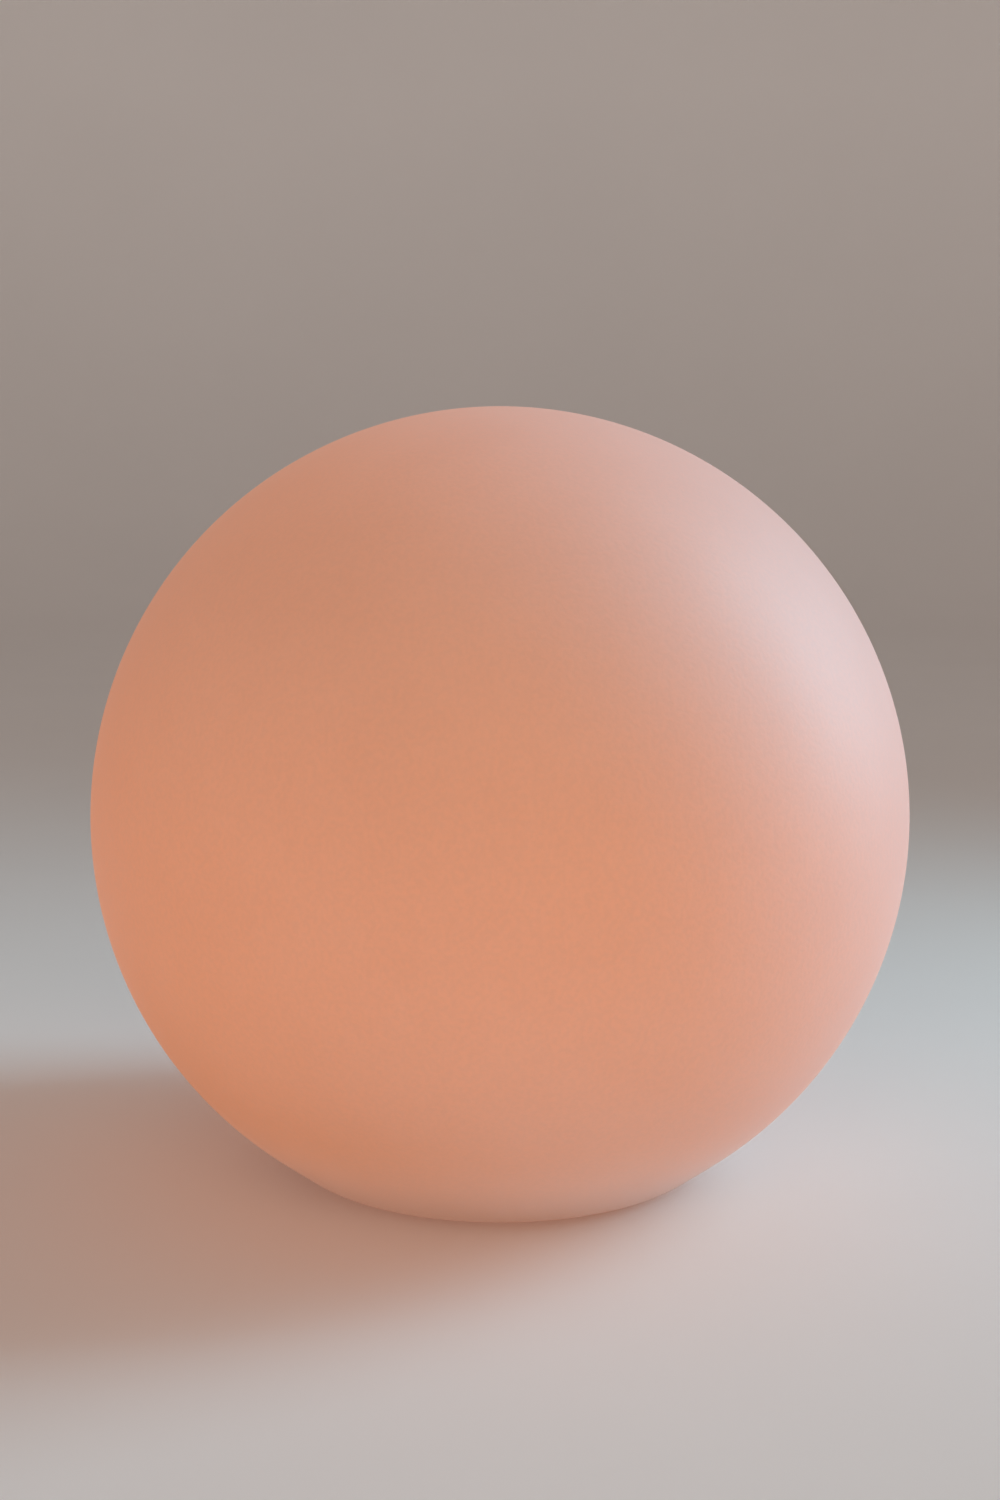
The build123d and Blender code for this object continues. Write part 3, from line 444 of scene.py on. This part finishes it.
def sparked_abs():
    """ABS, injection-moulded in a spark-eroded tool: off-white, with a dull, leathery grain. The grain is
    drawn at 1.1 mm, three times as coarse as the real one, so that it shows."""
    material, tree, shader, place = new_finish("sparked_abs", IOR=1.53)
    pits = add_node(
        tree, "ShaderNodeTexVoronoi", {"Vector": place}, {"Scale": 1 / (1.1 * MM)}, feature="SMOOTH_F1"
    ).outputs["Distance"]
    grained(tree, shader, place, 0.9 * MM, 0.16 * MM, 0.55, relief=pits)
    clouded(tree, shader, place, ("#D3D0CA", "#DCD9D4"), 45 * MM)
    return material


def rubber(name, colours, roughness):
    """Rubber, compression-moulded: dull, with the faint bloom that rises to its skin in uneven patches."""
    material, tree, shader, place = new_finish(name, IOR=1.52)
    grained(tree, shader, place, 0.35 * MM, 0.02 * MM, roughness)
    clouded(tree, shader, place, colours, 5 * MM)
    return material


def worked_metal(name, colours, roughness, line, stretch):
    """Metal with the lines of its making: a noise drawn out along one axis, in colour, gloss and surface."""
    material, tree, shader, place = new_finish(name, Metallic=1.0)
    lines = add_node(tree, "ShaderNodeMapping", {"Vector": place}, {"Scale": stretch}).outputs["Vector"]
    grained(tree, shader, lines, line, 0.006 * MM, roughness, 0.09)
    clouded(tree, shader, lines, colours, 4 * line)
    return material


def white_lamp_board():
    """Aluminium-core board under white solder mask: copper rings that join the lamps show as a shade."""
    material, tree, shader, place = new_finish("white_solder_mask", IOR=1.5)
    grained(tree, shader, place, 0.4 * MM, 0.004 * MM, 0.36)
    # The node draws 20 waves in two pi units. Turned back by the shift, a wave's crest runs through each
    # ring of lamps.
    apart, shift = 11.5 * MM, -7.65
    rings = add_node(
        tree, "ShaderNodeTexWave", {"Vector": place},
        {"Scale": 2 * math.pi / (20 * apart), "Phase Offset": shift}, wave_type="RINGS", rings_direction="Z",
    )
    tracks = ramp_of(tree, rings.outputs["Fac"], ((0.86, "#E3E2DD"), (0.9, "#C9C6BC")))
    tree.links.new(tracks, shader.inputs["Base Color"])
    return material


def green_circuit_board():
    """Glass-epoxy board under green solder mask: copper tracks 0.4 mm wide show through as a paler green,
    in runs that change direction, and the bare glass cloth as a darker one."""
    material, tree, shader, place = new_finish("green_solder_mask", IOR=1.5)
    grained(tree, shader, place, 0.3 * MM, 0.004 * MM, 0.33)
    runs = add_node(
        tree, "ShaderNodeTexBrick", {"Vector": place},
        {
            "Scale": 1.0, "Mortar Size": 0.2 * MM, "Mortar Smooth": 0.1, "Brick Width": 9.0 * MM,
            "Row Height": 1.8 * MM, "Color1": linear("#0E3A26"), "Color2": linear("#12452E"),
            "Mortar": linear("#2C7A50"),
        },
        offset=0.37, squash=1.7, squash_frequency=3,
    )
    tree.links.new(runs.outputs["Color"], shader.inputs["Base Color"])
    return material


def lit_phosphor():
    """Lamp packages, moulded white with a well of yellow phosphor in silicone, all lit. The well's floor is
    bright and the frame round it only catches the light."""
    material, tree, shader, place = new_finish("led_phosphor", IOR=1.45)
    grained(tree, shader, place, 0.2 * MM, 0.004 * MM, 0.5)
    clouded(tree, shader, place, ("#F1D9AE", "#F6E3C0"), 2 * MM)
    height = add_node(tree, "ShaderNodeSeparateXYZ", {"Vector": place}).outputs["Z"]
    floor = add_node(
        tree, "ShaderNodeMath", {0: height}, {1: CHIPS_TOP - 0.5 * MM, 2: 0.05 * MM}, operation="COMPARE"
    ).outputs[0]
    tree.links.new(span(tree, floor, 0.0, 1.0, 0.35, 2.0), shader.inputs["Emission Strength"])
    shader.inputs["Emission Color"].default_value = linear("#FFBE86")
    return material


def shrink_sleeve():
    """PVC shrink sleeve over a steel cell: glossy blue, its pale ends turned in over bright nickel."""
    material, tree, shader, place = new_finish("pvc_shrink_sleeve", IOR=1.53)
    grained(tree, shader, place, 0.9 * MM, 0.01 * MM, 0.2)
    along = add_node(tree, "ShaderNodeSeparateXYZ", {"Vector": place}).outputs["X"]
    share = span(tree, along, CELLS_LOW.x, CELLS_HIGH.x)
    ends = ((0.0, "#B9B4AA"), (0.006, "#1E4485"), (0.5, "#204A8E"), (0.985, "#DDE3E8"), (0.996, "#B9B4AA"))
    bands = ramp_of(tree, share, ends, "CONSTANT")
    tree.links.new(bands, shader.inputs["Base Color"])
    return material


def insulated_wire(name, axis, stops):
    """Hook-up wire in an extruded PVC sleeve: satin, with each core in its own colour by where it lies
    along one axis. A stop is the place in millimetres from which a colour holds, and that colour."""
    material, tree, shader, place = new_finish(name, IOR=1.53)
    grained(tree, shader, place, 0.5 * MM, 0.004 * MM, 0.36)
    across = add_node(tree, "ShaderNodeSeparateXYZ", {"Vector": place}).outputs[axis]
    reach = 8.0
    share = span(tree, across, -reach * MM, reach * MM)
    cores = ramp_of(tree, share, [(0.5 + start / (2 * reach), colour) for start, colour in stops], "CONSTANT")
    tree.links.new(cores, shader.inputs["Base Color"])
    return material


def gap_sheet():
    """Thermal gap sheet: putty-soft grey silicone with the print of its glass cloth, 1 mm a thread."""
    material, tree, shader, place = new_finish("thermal_gap_sheet", IOR=1.45)
    grained(tree, shader, place, 0.4 * MM, 0.01 * MM, 0.62)
    cloth = add_node(
        tree, "ShaderNodeTexChecker", {"Vector": place},
        {"Scale": 1 / (1.0 * MM), "Color1": linear("#687884"), "Color2": linear("#788893")},
    )
    tree.links.new(cloth.outputs["Color"], shader.inputs["Base Color"])
    return material


# ------------------------------------------------------------------ pieces
def ball_outline(settings):
    """Half section of the ball, clockwise from its crown: the sphere, the tangent it shares with the
    rounded foot, the flat ring, the recess, the neck with its key, and back up inside, one wall in."""
    wall, reach, bend = settings.wall, settings.foot_radius, settings.foot_round
    floor = BALL_LOW.z
    foot_z = floor + bend
    away = math.hypot(reach, BALL_CENTRE - foot_z)
    tangent = math.degrees(math.atan2(reach, BALL_CENTRE - foot_z) + math.acos((BALL_RADIUS - bend) / away))
    recess, neck = 74.0 * MM, 66.0 * MM
    recess_top, neck_top = 14.4 * MM, NECK_TOP
    key_low, key_high, key = 22.0 * MM, 28.0 * MM, 1.5 * MM
    lip, edge = 2.5 * MM, wall / 2
    return outline_of(
        (0, BALL_HIGH.z),
        arc(0, BALL_CENTRE, BALL_RADIUS, 89.2, tangent - 90, 112),
        arc(reach, foot_z, bend, tangent - 90, -90, 18),
        arc(recess + lip, floor + lip, lip, -90, -180, 6),
        arc(recess - lip, recess_top - lip, lip, 0, 90, 6),
        (neck, recess_top), (neck, key_low), (neck - key, key_low + key), (neck - key, key_high - key),
        (neck, key_high), (neck, neck_top),
        arc(neck + wall - edge, neck_top - edge, edge, 90, 0, 5),
        arc(neck + wall + edge, recess_top + wall + edge, edge, -180, -90, 5),
        arc(recess + wall - lip, recess_top + wall - lip, lip, 90, 0, 6),
        arc(recess + wall + lip, floor + wall + lip, lip, 180, 270, 6),
        arc(reach, foot_z, bend - wall, -90, tangent - 90, 12),
        arc(0, BALL_CENTRE, BALL_RADIUS - wall, tangent - 90, 89, 60),
        (0, BALL_HIGH.z - wall),
    )


def build_ball(settings):
    """The glowing shell: its outline turned about Z, with poles at the crown, outside and in."""
    points, faces = turned(ball_outline(settings), 320)
    put_mesh(
        "ball_shell", points, faces, "globe", rotomoulded_polyethylene(settings), ["globe_shell"],
        "shell_polyethylene",
    )


def build_dome(settings):
    """The opal dome: a spherical cap that runs out through a small fillet into a flat screwed flange."""
    foot = DOME_LOW.z + settings.dome_flange
    sphere, wall, reach = settings.dome_sphere, settings.dome_wall, settings.dome_foot_radius
    centre = DOME_HIGH.z - sphere
    outer_end = math.degrees(math.asin((foot - centre) / sphere))
    inner_end = math.degrees(math.asin((DOME_LOW.z - centre) / (sphere - wall)))
    rim, edge, fillet = (DOME_HIGH.x - DOME_LOW.x) / 2, 0.8 * MM, 1.0 * MM
    outline = outline_of(
        (0, DOME_HIGH.z),
        arc(0, centre, sphere, 88.5, outer_end + 1.0, 64),
        (reach + 0.3 * fillet, foot + 0.2 * fillet), (reach + fillet, foot),
        arc(rim - edge, foot - edge, edge, 90, 0, 6),
        (rim, DOME_LOW.z),
        arc(0, centre, sphere - wall, inner_end, 88, 48),
        (0, DOME_HIGH.z - wall),
    )
    points, faces = turned(outline, 192)
    put_mesh(
        "lamp_dome", points, faces, "light_base", opal_acrylic(settings), ["light_dome"], "opal_acrylic"
    )


def build_housing(settings):
    """The housing: flange, threaded wall, rim with its ring groove and ledge, turned about Z, and the
    ridges of the coarse thread, each a trapezoid up a helix."""
    low, top = HOUSING_LOW.z, HOUSING_HIGH.z
    flange, flange_top, seat = (HOUSING_HIGH.x - HOUSING_LOW.x) / 2, 12.0 * MM, 6.5 * MM
    plate, wall, chamber, chamber_top = 68.4 * MM, 55.8 * MM, 52.6 * MM, 46.0 * MM
    mouth, ledge, ledge_low, ledge_top = 48.4 * MM, 43.5 * MM, 52.0 * MM, 58.0 * MM
    groove_out, groove_in, groove = 51.2 * MM, 49.0 * MM, 1.4 * MM
    edge, root, lip = 1.0 * MM, 1.5 * MM, 0.4 * MM
    outline = outline_of(
        (chamber, seat), (plate, seat), (plate, low),
        arc(flange - edge, low + edge, edge, -90, 0, 5),
        arc(flange - edge, flange_top - edge, edge, 0, 90, 5),
        arc(wall + root, flange_top + root, root, -90, -180, 6),
        (wall, top - lip), (wall - lip, top),
        (groove_out, top), (groove_out, top - groove), (groove_in, top - groove), (groove_in, top),
        (mouth, top), (mouth, ledge_top), (ledge, ledge_top), (ledge, ledge_low), (chamber, chamber_top),
    )
    ridges = [
        helical_ridge(
            root=wall, crest=58.3 * MM, low=20.0 * MM, lead=settings.thread_lead, sweep=math.radians(150.0),
            root_width=3.0 * MM, crest_width=1.8 * MM, sink=0.3 * MM, start=start,
        )
        for start in np.linspace(0, 2 * math.pi, settings.thread_starts, endpoint=False)
    ]
    points, faces = gathered([turned(outline, 224), *ridges])
    put_mesh(
        "housing_shell", points, faces, "light_base", sparked_abs(), ["base_housing"], "housing_plastic"
    )


def build_pads(settings):
    """Four rubber pads, each turned about its own axis, with two ring grooves in the face it stands on."""
    radius = settings.pad_radius
    circle = (PAD_HIGH.x - PAD_LOW.x) / 2 - radius
    low, edge, half, depth = PAD_LOW.z, 0.6 * MM, 0.45 * MM, 0.5 * MM
    groove = np.array([(-half, low), (-half / 2, low + depth), (half / 2, low + depth), (half, low)])
    outline = outline_of(
        (0, low), groove + (2.2 * MM, 0), groove + (4.4 * MM, 0),
        arc(radius - edge, low + edge, edge, -90, 0, 6), (radius, PAD_HIGH.z), (0, PAD_HIGH.z),
    )
    points, faces = turned(outline, 48)
    pads = [(points + (x * circle, y * circle, 0), faces) for x in (-1, 1) for y in (-1, 1)]
    points, faces = gathered(pads)
    put_mesh(
        "pad_treads", points, faces, "light_base", bpy.data.materials["epdm_rubber"], ["foot_pads"],
        "black_rubber",
    )


def build_button():
    """The button: a dished cap with its skirt and stem, turned about its own axis, and the usual power
    sign, a broken ring and a bar, standing 0.25 mm proud of the dish. The ring is a half-round section
    carried along an arc that leaves a gap of 64 degrees, and the bar the same section along a line through
    that gap."""
    x, y = (CAP_LOW.x + CAP_HIGH.x) / 2, (CAP_LOW.y + CAP_HIGH.y) / 2
    face, radius, edge, dish = CAP_LOW.z, 5.0 * MM, 0.8 * MM, 0.5 * MM
    skirt_low, skirt_top, skirt = 22.7 * MM, 23.5 * MM, 5.9 * MM
    rim, stem, root = radius - 1.2 * MM, 1.5 * MM, -0.4 * MM
    share = np.linspace(0, 1, 9)
    bowl = np.stack([share * rim, face + dish * (1 - share**2)], -1)
    outline = outline_of(
        bowl, arc(radius - edge, face + edge, edge, -90, 0, 6), (radius, skirt_low), (skirt, skirt_low),
        (skirt, skirt_top), (stem, skirt_top), (stem, CAP_HIGH.z), (0, CAP_HIGH.z),
    )
    ring, width, proud = 1.9 * MM, 0.3 * MM, 0.25 * MM
    angle = np.linspace(math.radians(122), math.radians(418), 49)
    around_it = np.stack([np.cos(angle), np.sin(angle), 0 * angle], -1)
    down = np.broadcast_to([0.0, 0.0, -1.0], around_it.shape)
    turn = np.linspace(math.pi, 0, 9)
    section = np.stack([width * np.cos(turn), proud * np.sin(turn)], -1)
    section = np.concatenate([section, [[width, root], [-width, root]]])
    base = face + dish * (1 - (ring / rim) ** 2)
    sections = np.broadcast_to(section[::-1], (len(angle), *section.shape))
    sign = carried(sections, ring * around_it + [0, 0, base], around_it, down)
    # The bar starts deep in the dish, near its middle, and ends outside the ring, where the dish is shallow.
    line = np.linspace([0.0, 1.0 * MM, face + 0.45 * MM], [0.0, 2.7 * MM, face + 0.26 * MM], 6)
    side = np.broadcast_to([1.0, 0.0, 0.0], line.shape)
    sections = np.broadcast_to(section, (len(line), *section.shape))
    bar = carried(sections, line, side, down[: len(line)])
    points, faces = gathered([turned(outline, 64), sign, bar])
    # ABS, injection-moulded in a textured tool: dark grey and satin.
    cap = moulded("button_abs", ("#3A3A3C", "#434345"), 0.45, 0.4 * MM, 0.012 * MM, 1.53)
    put_mesh(
        "button_face", points + (x, y, 0), faces, "power_button", cap, ["button_cap"], "button_plastic"
    )


# ------------------------------------------------------------------ stage
def build_backdrop():
    """A pale floor that turns up into a wall all round: a disc, a quarter circle and a short cylinder."""
    reach, bend, top = 3.0, 1.2, 3.4
    outline = outline_of(
        np.stack([np.linspace(0.0, reach, 12), np.zeros(12)], -1), arc(reach, bend, bend, -90, 0, 24),
        (reach + bend, top),
    )
    material, tree, shader, place = new_finish("backdrop_paper", Specular_IOR_Level=0.2)
    grained(tree, shader, place, 3 * MM, 0.02 * MM, 0.8)
    clouded(tree, shader, place, ("#EDE3DD", "#F0E6E0"), 0.5)
    # The lens sees the wall, straight on, in gloss or through clear plastic, paler than what it throws on
    # the object. The floor is left nearly as it is, so that it keeps the object's shadow.
    ray = add_node(tree, "ShaderNodeLightPath").outputs
    seen = ray["Is Camera Ray"]
    for other in ("Is Glossy Ray", "Is Transmission Ray"):
        seen = add_node(tree, "ShaderNodeMath", {0: seen, 1: ray[other]}, operation="MAXIMUM").outputs[0]
    height = add_node(tree, "ShaderNodeSeparateXYZ", {"Vector": place}).outputs["Z"]
    lift = span(tree, height, 0.0, bend, 0.04, 0.14)
    tree.links.new(product(tree, seen, lift), shader.inputs["Emission Strength"])
    shader.inputs["Emission Color"].default_value = linear("#F2ECE8")
    put_mesh("backdrop", *turned(outline, 128), None, material)


def around(azimuth, elevation, distance):
    """A place set out from the ball's centre, with azimuth in degrees from the front towards +X."""
    turn, rise = math.radians(azimuth), math.radians(elevation)
    flat = distance * math.cos(rise)
    return flat * math.sin(turn), -flat * math.cos(turn), BALL_CENTRE + distance * math.sin(rise)


def put_lamp(name, place, width, height, power, colour, spread=180.0):
    """A soft rectangular lamp that points at the ball's centre and isn't seen itself. A spread under 180
    degrees is that of a lamp behind a grid, which keeps its light off the floor under it."""
    lamp = bpy.data.lights.new(name, "AREA")
    lamp.shape = "RECTANGLE"
    lamp.size = width
    lamp.size_y = height
    lamp.energy = power
    lamp.color = linear(colour)[:3]
    lamp.spread = math.radians(spread)
    holder = bpy.data.objects.new(name, lamp)
    bpy.context.scene.collection.objects.link(holder)
    x, y, z = place
    holder.location = place
    tip = math.atan2(math.hypot(x, y), z - BALL_CENTRE)
    holder.rotation_euler = (tip, 0.0, math.atan2(-y, -x) - math.pi / 2)
    holder.visible_camera = False


def put_camera(settings):
    """The camera: in front, a little above, pointed slightly over the ball's centre."""
    camera = bpy.data.cameras.new("camera")
    camera.lens = settings.focal_length
    camera.sensor_width = 36.0
    camera.clip_start = 0.01
    camera.clip_end = 50.0
    holder = bpy.data.objects.new("camera", camera)
    bpy.context.scene.collection.objects.link(holder)
    holder.location = around(0.0, math.degrees(settings.camera_elevation), settings.camera_distance)
    holder.rotation_euler = (math.pi / 2 - (settings.camera_elevation - settings.camera_lift), 0.0, 0.0)
    bpy.context.scene.camera = holder


def put_world(strength):
    """An even, nearly white light from all round."""
    world = bpy.data.worlds.new("studio")
    world.use_nodes = True
    tree = world.node_tree
    tree.nodes.clear()
    sky = add_node(tree, "ShaderNodeBackground", values={"Color": linear("#FFFDFB"), "Strength": strength})
    add_node(tree, "ShaderNodeOutputWorld", {"Surface": sky.outputs["Background"]})
    bpy.context.scene.world = world


# ------------------------------------------------------------------ operators
class LIGHT_OT_stage(bpy.types.Operator):
    """Sets up the floor, the lamps, the world and the camera"""

    bl_idname = "globe_light.stage"
    bl_label = "Stage"

    def execute(self, context):
        settings = context.scene.globe_stage
        build_backdrop()
        put_lamp(
            "key", around(azimuth=104, elevation=25, distance=1.8), width=0.72, height=1.98,
            power=settings.key_power, colour="#B4E7FF", spread=70.0,
        )
        put_lamp(
            "fill", around(azimuth=0, elevation=28, distance=1.8), width=1.0, height=1.0,
            power=settings.fill_power, colour="#FFCFA9",
        )
        put_world(settings.sky)
        put_camera(settings)
        context.scene.view_settings.view_transform = "Standard"
        return {"FINISHED"}


class LIGHT_OT_ball(bpy.types.Operator):
    """Builds the glowing ball"""

    bl_idname = "globe_light.ball"
    bl_label = "Ball"

    def execute(self, context):
        build_ball(context.scene.globe_ball)
        return {"FINISHED"}


class LIGHT_OT_neck(bpy.types.Operator):
    """Finishes the threaded collar in the ball's neck, its seal and the other silicone seals"""

    bl_idname = "globe_light.neck"
    bl_label = "Neck"

    def execute(self, context):
        # Natural polyethylene, injection-moulded: waxy and off-white, without the ball's glow.
        collar = moulded("natural_polyethylene", ("#D5CFC6", "#DCD6CE"), 0.42, 0.8 * MM, 0.01 * MM, 1.51)
        finish_nodes(collar, "neck_collar")
        # Silicone rubber: a soft middle grey that looks slightly dusty.
        finish_nodes(
            rubber("silicone_rubber", ("#9C9B98", "#A8A7A4"), 0.6),
            "neck_seal", "plate_gasket", "button_boot", "jack_seal",
        )
        return {"FINISHED"}


class LIGHT_OT_housing(bpy.types.Operator):
    """Builds the housing and finishes the plate under it"""

    bl_idname = "globe_light.housing"
    bl_label = "Housing and plate"

    def execute(self, context):
        build_housing(context.scene.globe_base)
        finish_nodes(bpy.data.materials["sparked_abs"], "base_plate")
        return {"FINISHED"}


class LIGHT_OT_rubber(bpy.types.Operator):
    """Builds the pads and finishes the other black rubber pieces"""

    bl_idname = "globe_light.rubber"
    bl_label = "Pads, rings, straps and bung"

    def execute(self, context):
        # EPDM rubber: nearly black, with hardly a highlight.
        finish_nodes(
            rubber("epdm_rubber", ("#161617", "#1F1F20"), 0.7),
            "dome_oring", "cable_grommet", "battery_straps", "port_bung", "bung_strap",
        )
        build_pads(context.scene.globe_base)
        return {"FINISHED"}


class LIGHT_OT_screws(bpy.types.Operator):
    """Finishes the screws: A2 stainless, cold-headed and tumbled, so bright with a fine haze"""

    bl_idname = "globe_light.screws"
    bl_label = "Screws"

    def execute(self, context):
        finish_nodes(
            worked_metal("tumbled_stainless", ("#A5A29E", "#B6B4B0"), 0.27, 0.4 * MM, (1.0, 1.0, 0.3)),
            "plate_screws", "dome_screws", "heat_plate_screws", "cradle_screws", "board_screws",
            "switch_board_screws",
        )
        return {"FINISHED"}


class LIGHT_OT_lamp(bpy.types.Operator):
    """Builds the dome and finishes the lamp board, its lamps and the plate that takes their heat"""

    bl_idname = "globe_light.lamp"
    bl_label = "Dome and lamp board"

    def execute(self, context):
        build_dome(context.scene.globe_base)
        # Rolled and blanked aluminium: long fine lines one way.
        rolled = worked_metal("rolled_aluminium", ("#B4B5B7", "#C4C5C7"), 0.34, 0.5 * MM, (0.05, 1.0, 1.0))
        finish_nodes(rolled, "heat_plate")
        finish_nodes(gap_sheet(), "thermal_pad")
        finish_nodes(white_lamp_board(), "led_board")
        finish_nodes(lit_phosphor(), "led_chips", "indicator_led")
        return {"FINISHED"}


class LIGHT_OT_electronics(bpy.types.Operator):
    """Finishes the battery, the boards, their parts and the wires"""

    bl_idname = "globe_light.electronics"
    bl_label = "Battery, boards and wires"

    def execute(self, context):
        # Natural nylon, injection-moulded: creamy and half glossy.
        finish_nodes(
            moulded("nylon_natural", ("#D6D1C2", "#DEDACD"), 0.45, 0.4 * MM, 0.01 * MM, 1.53),
            "battery_cradle", "wire_sockets", "switch_plunger",
        )
        finish_nodes(shrink_sleeve(), "battery_cells")
        # Nickel, drawn as strip or plated on brass: satin, a little yellow.
        nickel = worked_metal("satin_nickel", ("#AEA99D", "#BBB6AB"), 0.3, 0.3 * MM, (1.0, 0.1, 1.0))
        finish_nodes(nickel, "cell_tabs", "jack_nut")
        finish_nodes(green_circuit_board(), "control_board", "switch_board")
        # Epoxy, moulded round each part: black, with a finely matted shine.
        finish_nodes(
            moulded("black_epoxy", ("#131314", "#1C1C1D"), 0.38, 0.25 * MM, 0.006 * MM, 1.55),
            "remote_receiver", "control_chips", "power_parts", "tact_switch", "charge_jack",
        )
        black, red, green, white, yellow = "#17181A", "#9B1F1A", "#1E5B33", "#D8D4C8", "#C7A021"
        lamp = insulated_wire("lamp_wire", "Y", ((-8, black), (-1.8, red), (0, green), (1.8, white)))
        finish_nodes(lamp, "led_leads")
        finish_nodes(insulated_wire("battery_wire", "Y", ((-8, black), (0, red))), "battery_leads")
        finish_nodes(insulated_wire("socket_wire", "X", ((-8, black), (0, red))), "jack_leads")
        switch = insulated_wire("switch_wire", "X", ((-8, black), (-1.0, white), (1.0, yellow)))
        finish_nodes(switch, "switch_leads")
        return {"FINISHED"}


class LIGHT_OT_controls(bpy.types.Operator):
    """Builds the button and finishes the charge light's lens and the charging pin"""

    bl_idname = "globe_light.controls"
    bl_label = "Button, lens and socket"

    def execute(self, context):
        build_button()
        finish_nodes(frosted_acrylic(), "status_lens")
        # Brass, turned and gilt: fine lines round the pin, yellow and bright.
        gilt = worked_metal("gilt_brass", ("#C9A65A", "#D4B36A"), 0.22, 0.3 * MM, (1.0, 1.0, 0.2))
        finish_nodes(gilt, "jack_pin")
        return {"FINISHED"}


class LIGHT_PT_panel(bpy.types.Panel):
    """Lists the steps that build the light, and their settings"""

    bl_idname = "LIGHT_PT_panel"
    bl_label = "Globe Light"
    bl_space_type = "VIEW_3D"
    bl_region_type = "UI"
    bl_category = "Globe Light"

    def draw(self, context):
        for step in STEPS:
            self.layout.operator(step.bl_idname)
        for group in (context.scene.globe_ball, context.scene.globe_base, context.scene.globe_stage):
            for name in group.__annotations__:
                self.layout.prop(group, name)


STEPS = (
    LIGHT_OT_stage, LIGHT_OT_ball, LIGHT_OT_neck, LIGHT_OT_housing, LIGHT_OT_rubber, LIGHT_OT_screws,
    LIGHT_OT_lamp, LIGHT_OT_electronics, LIGHT_OT_controls,
)
CLASSES = (BallSettings, BaseSettings, StageSettings, *STEPS, LIGHT_PT_panel)


def register():
    """Registers the classes and hangs their settings on the scene."""
    for one in CLASSES:
        bpy.utils.register_class(one)
    bpy.types.Scene.globe_ball = bpy.props.PointerProperty(type=BallSettings)
    bpy.types.Scene.globe_base = bpy.props.PointerProperty(type=BaseSettings)
    bpy.types.Scene.globe_stage = bpy.props.PointerProperty(type=StageSettings)


def unregister():
    """Takes the settings off the scene and unregisters the classes."""
    del bpy.types.Scene.globe_stage, bpy.types.Scene.globe_base, bpy.types.Scene.globe_ball
    for one in reversed(CLASSES):
        bpy.utils.unregister_class(one)


def main():
    """Builds the whole light."""
    register()
    bpy.ops.globe_light.stage()
    bpy.ops.globe_light.ball()
    bpy.ops.globe_light.neck()
    bpy.ops.globe_light.housing()
    bpy.ops.globe_light.rubber()
    bpy.ops.globe_light.screws()
    bpy.ops.globe_light.lamp()
    bpy.ops.globe_light.electronics()
    bpy.ops.globe_light.controls()


if __name__ == "__main__":
    main()
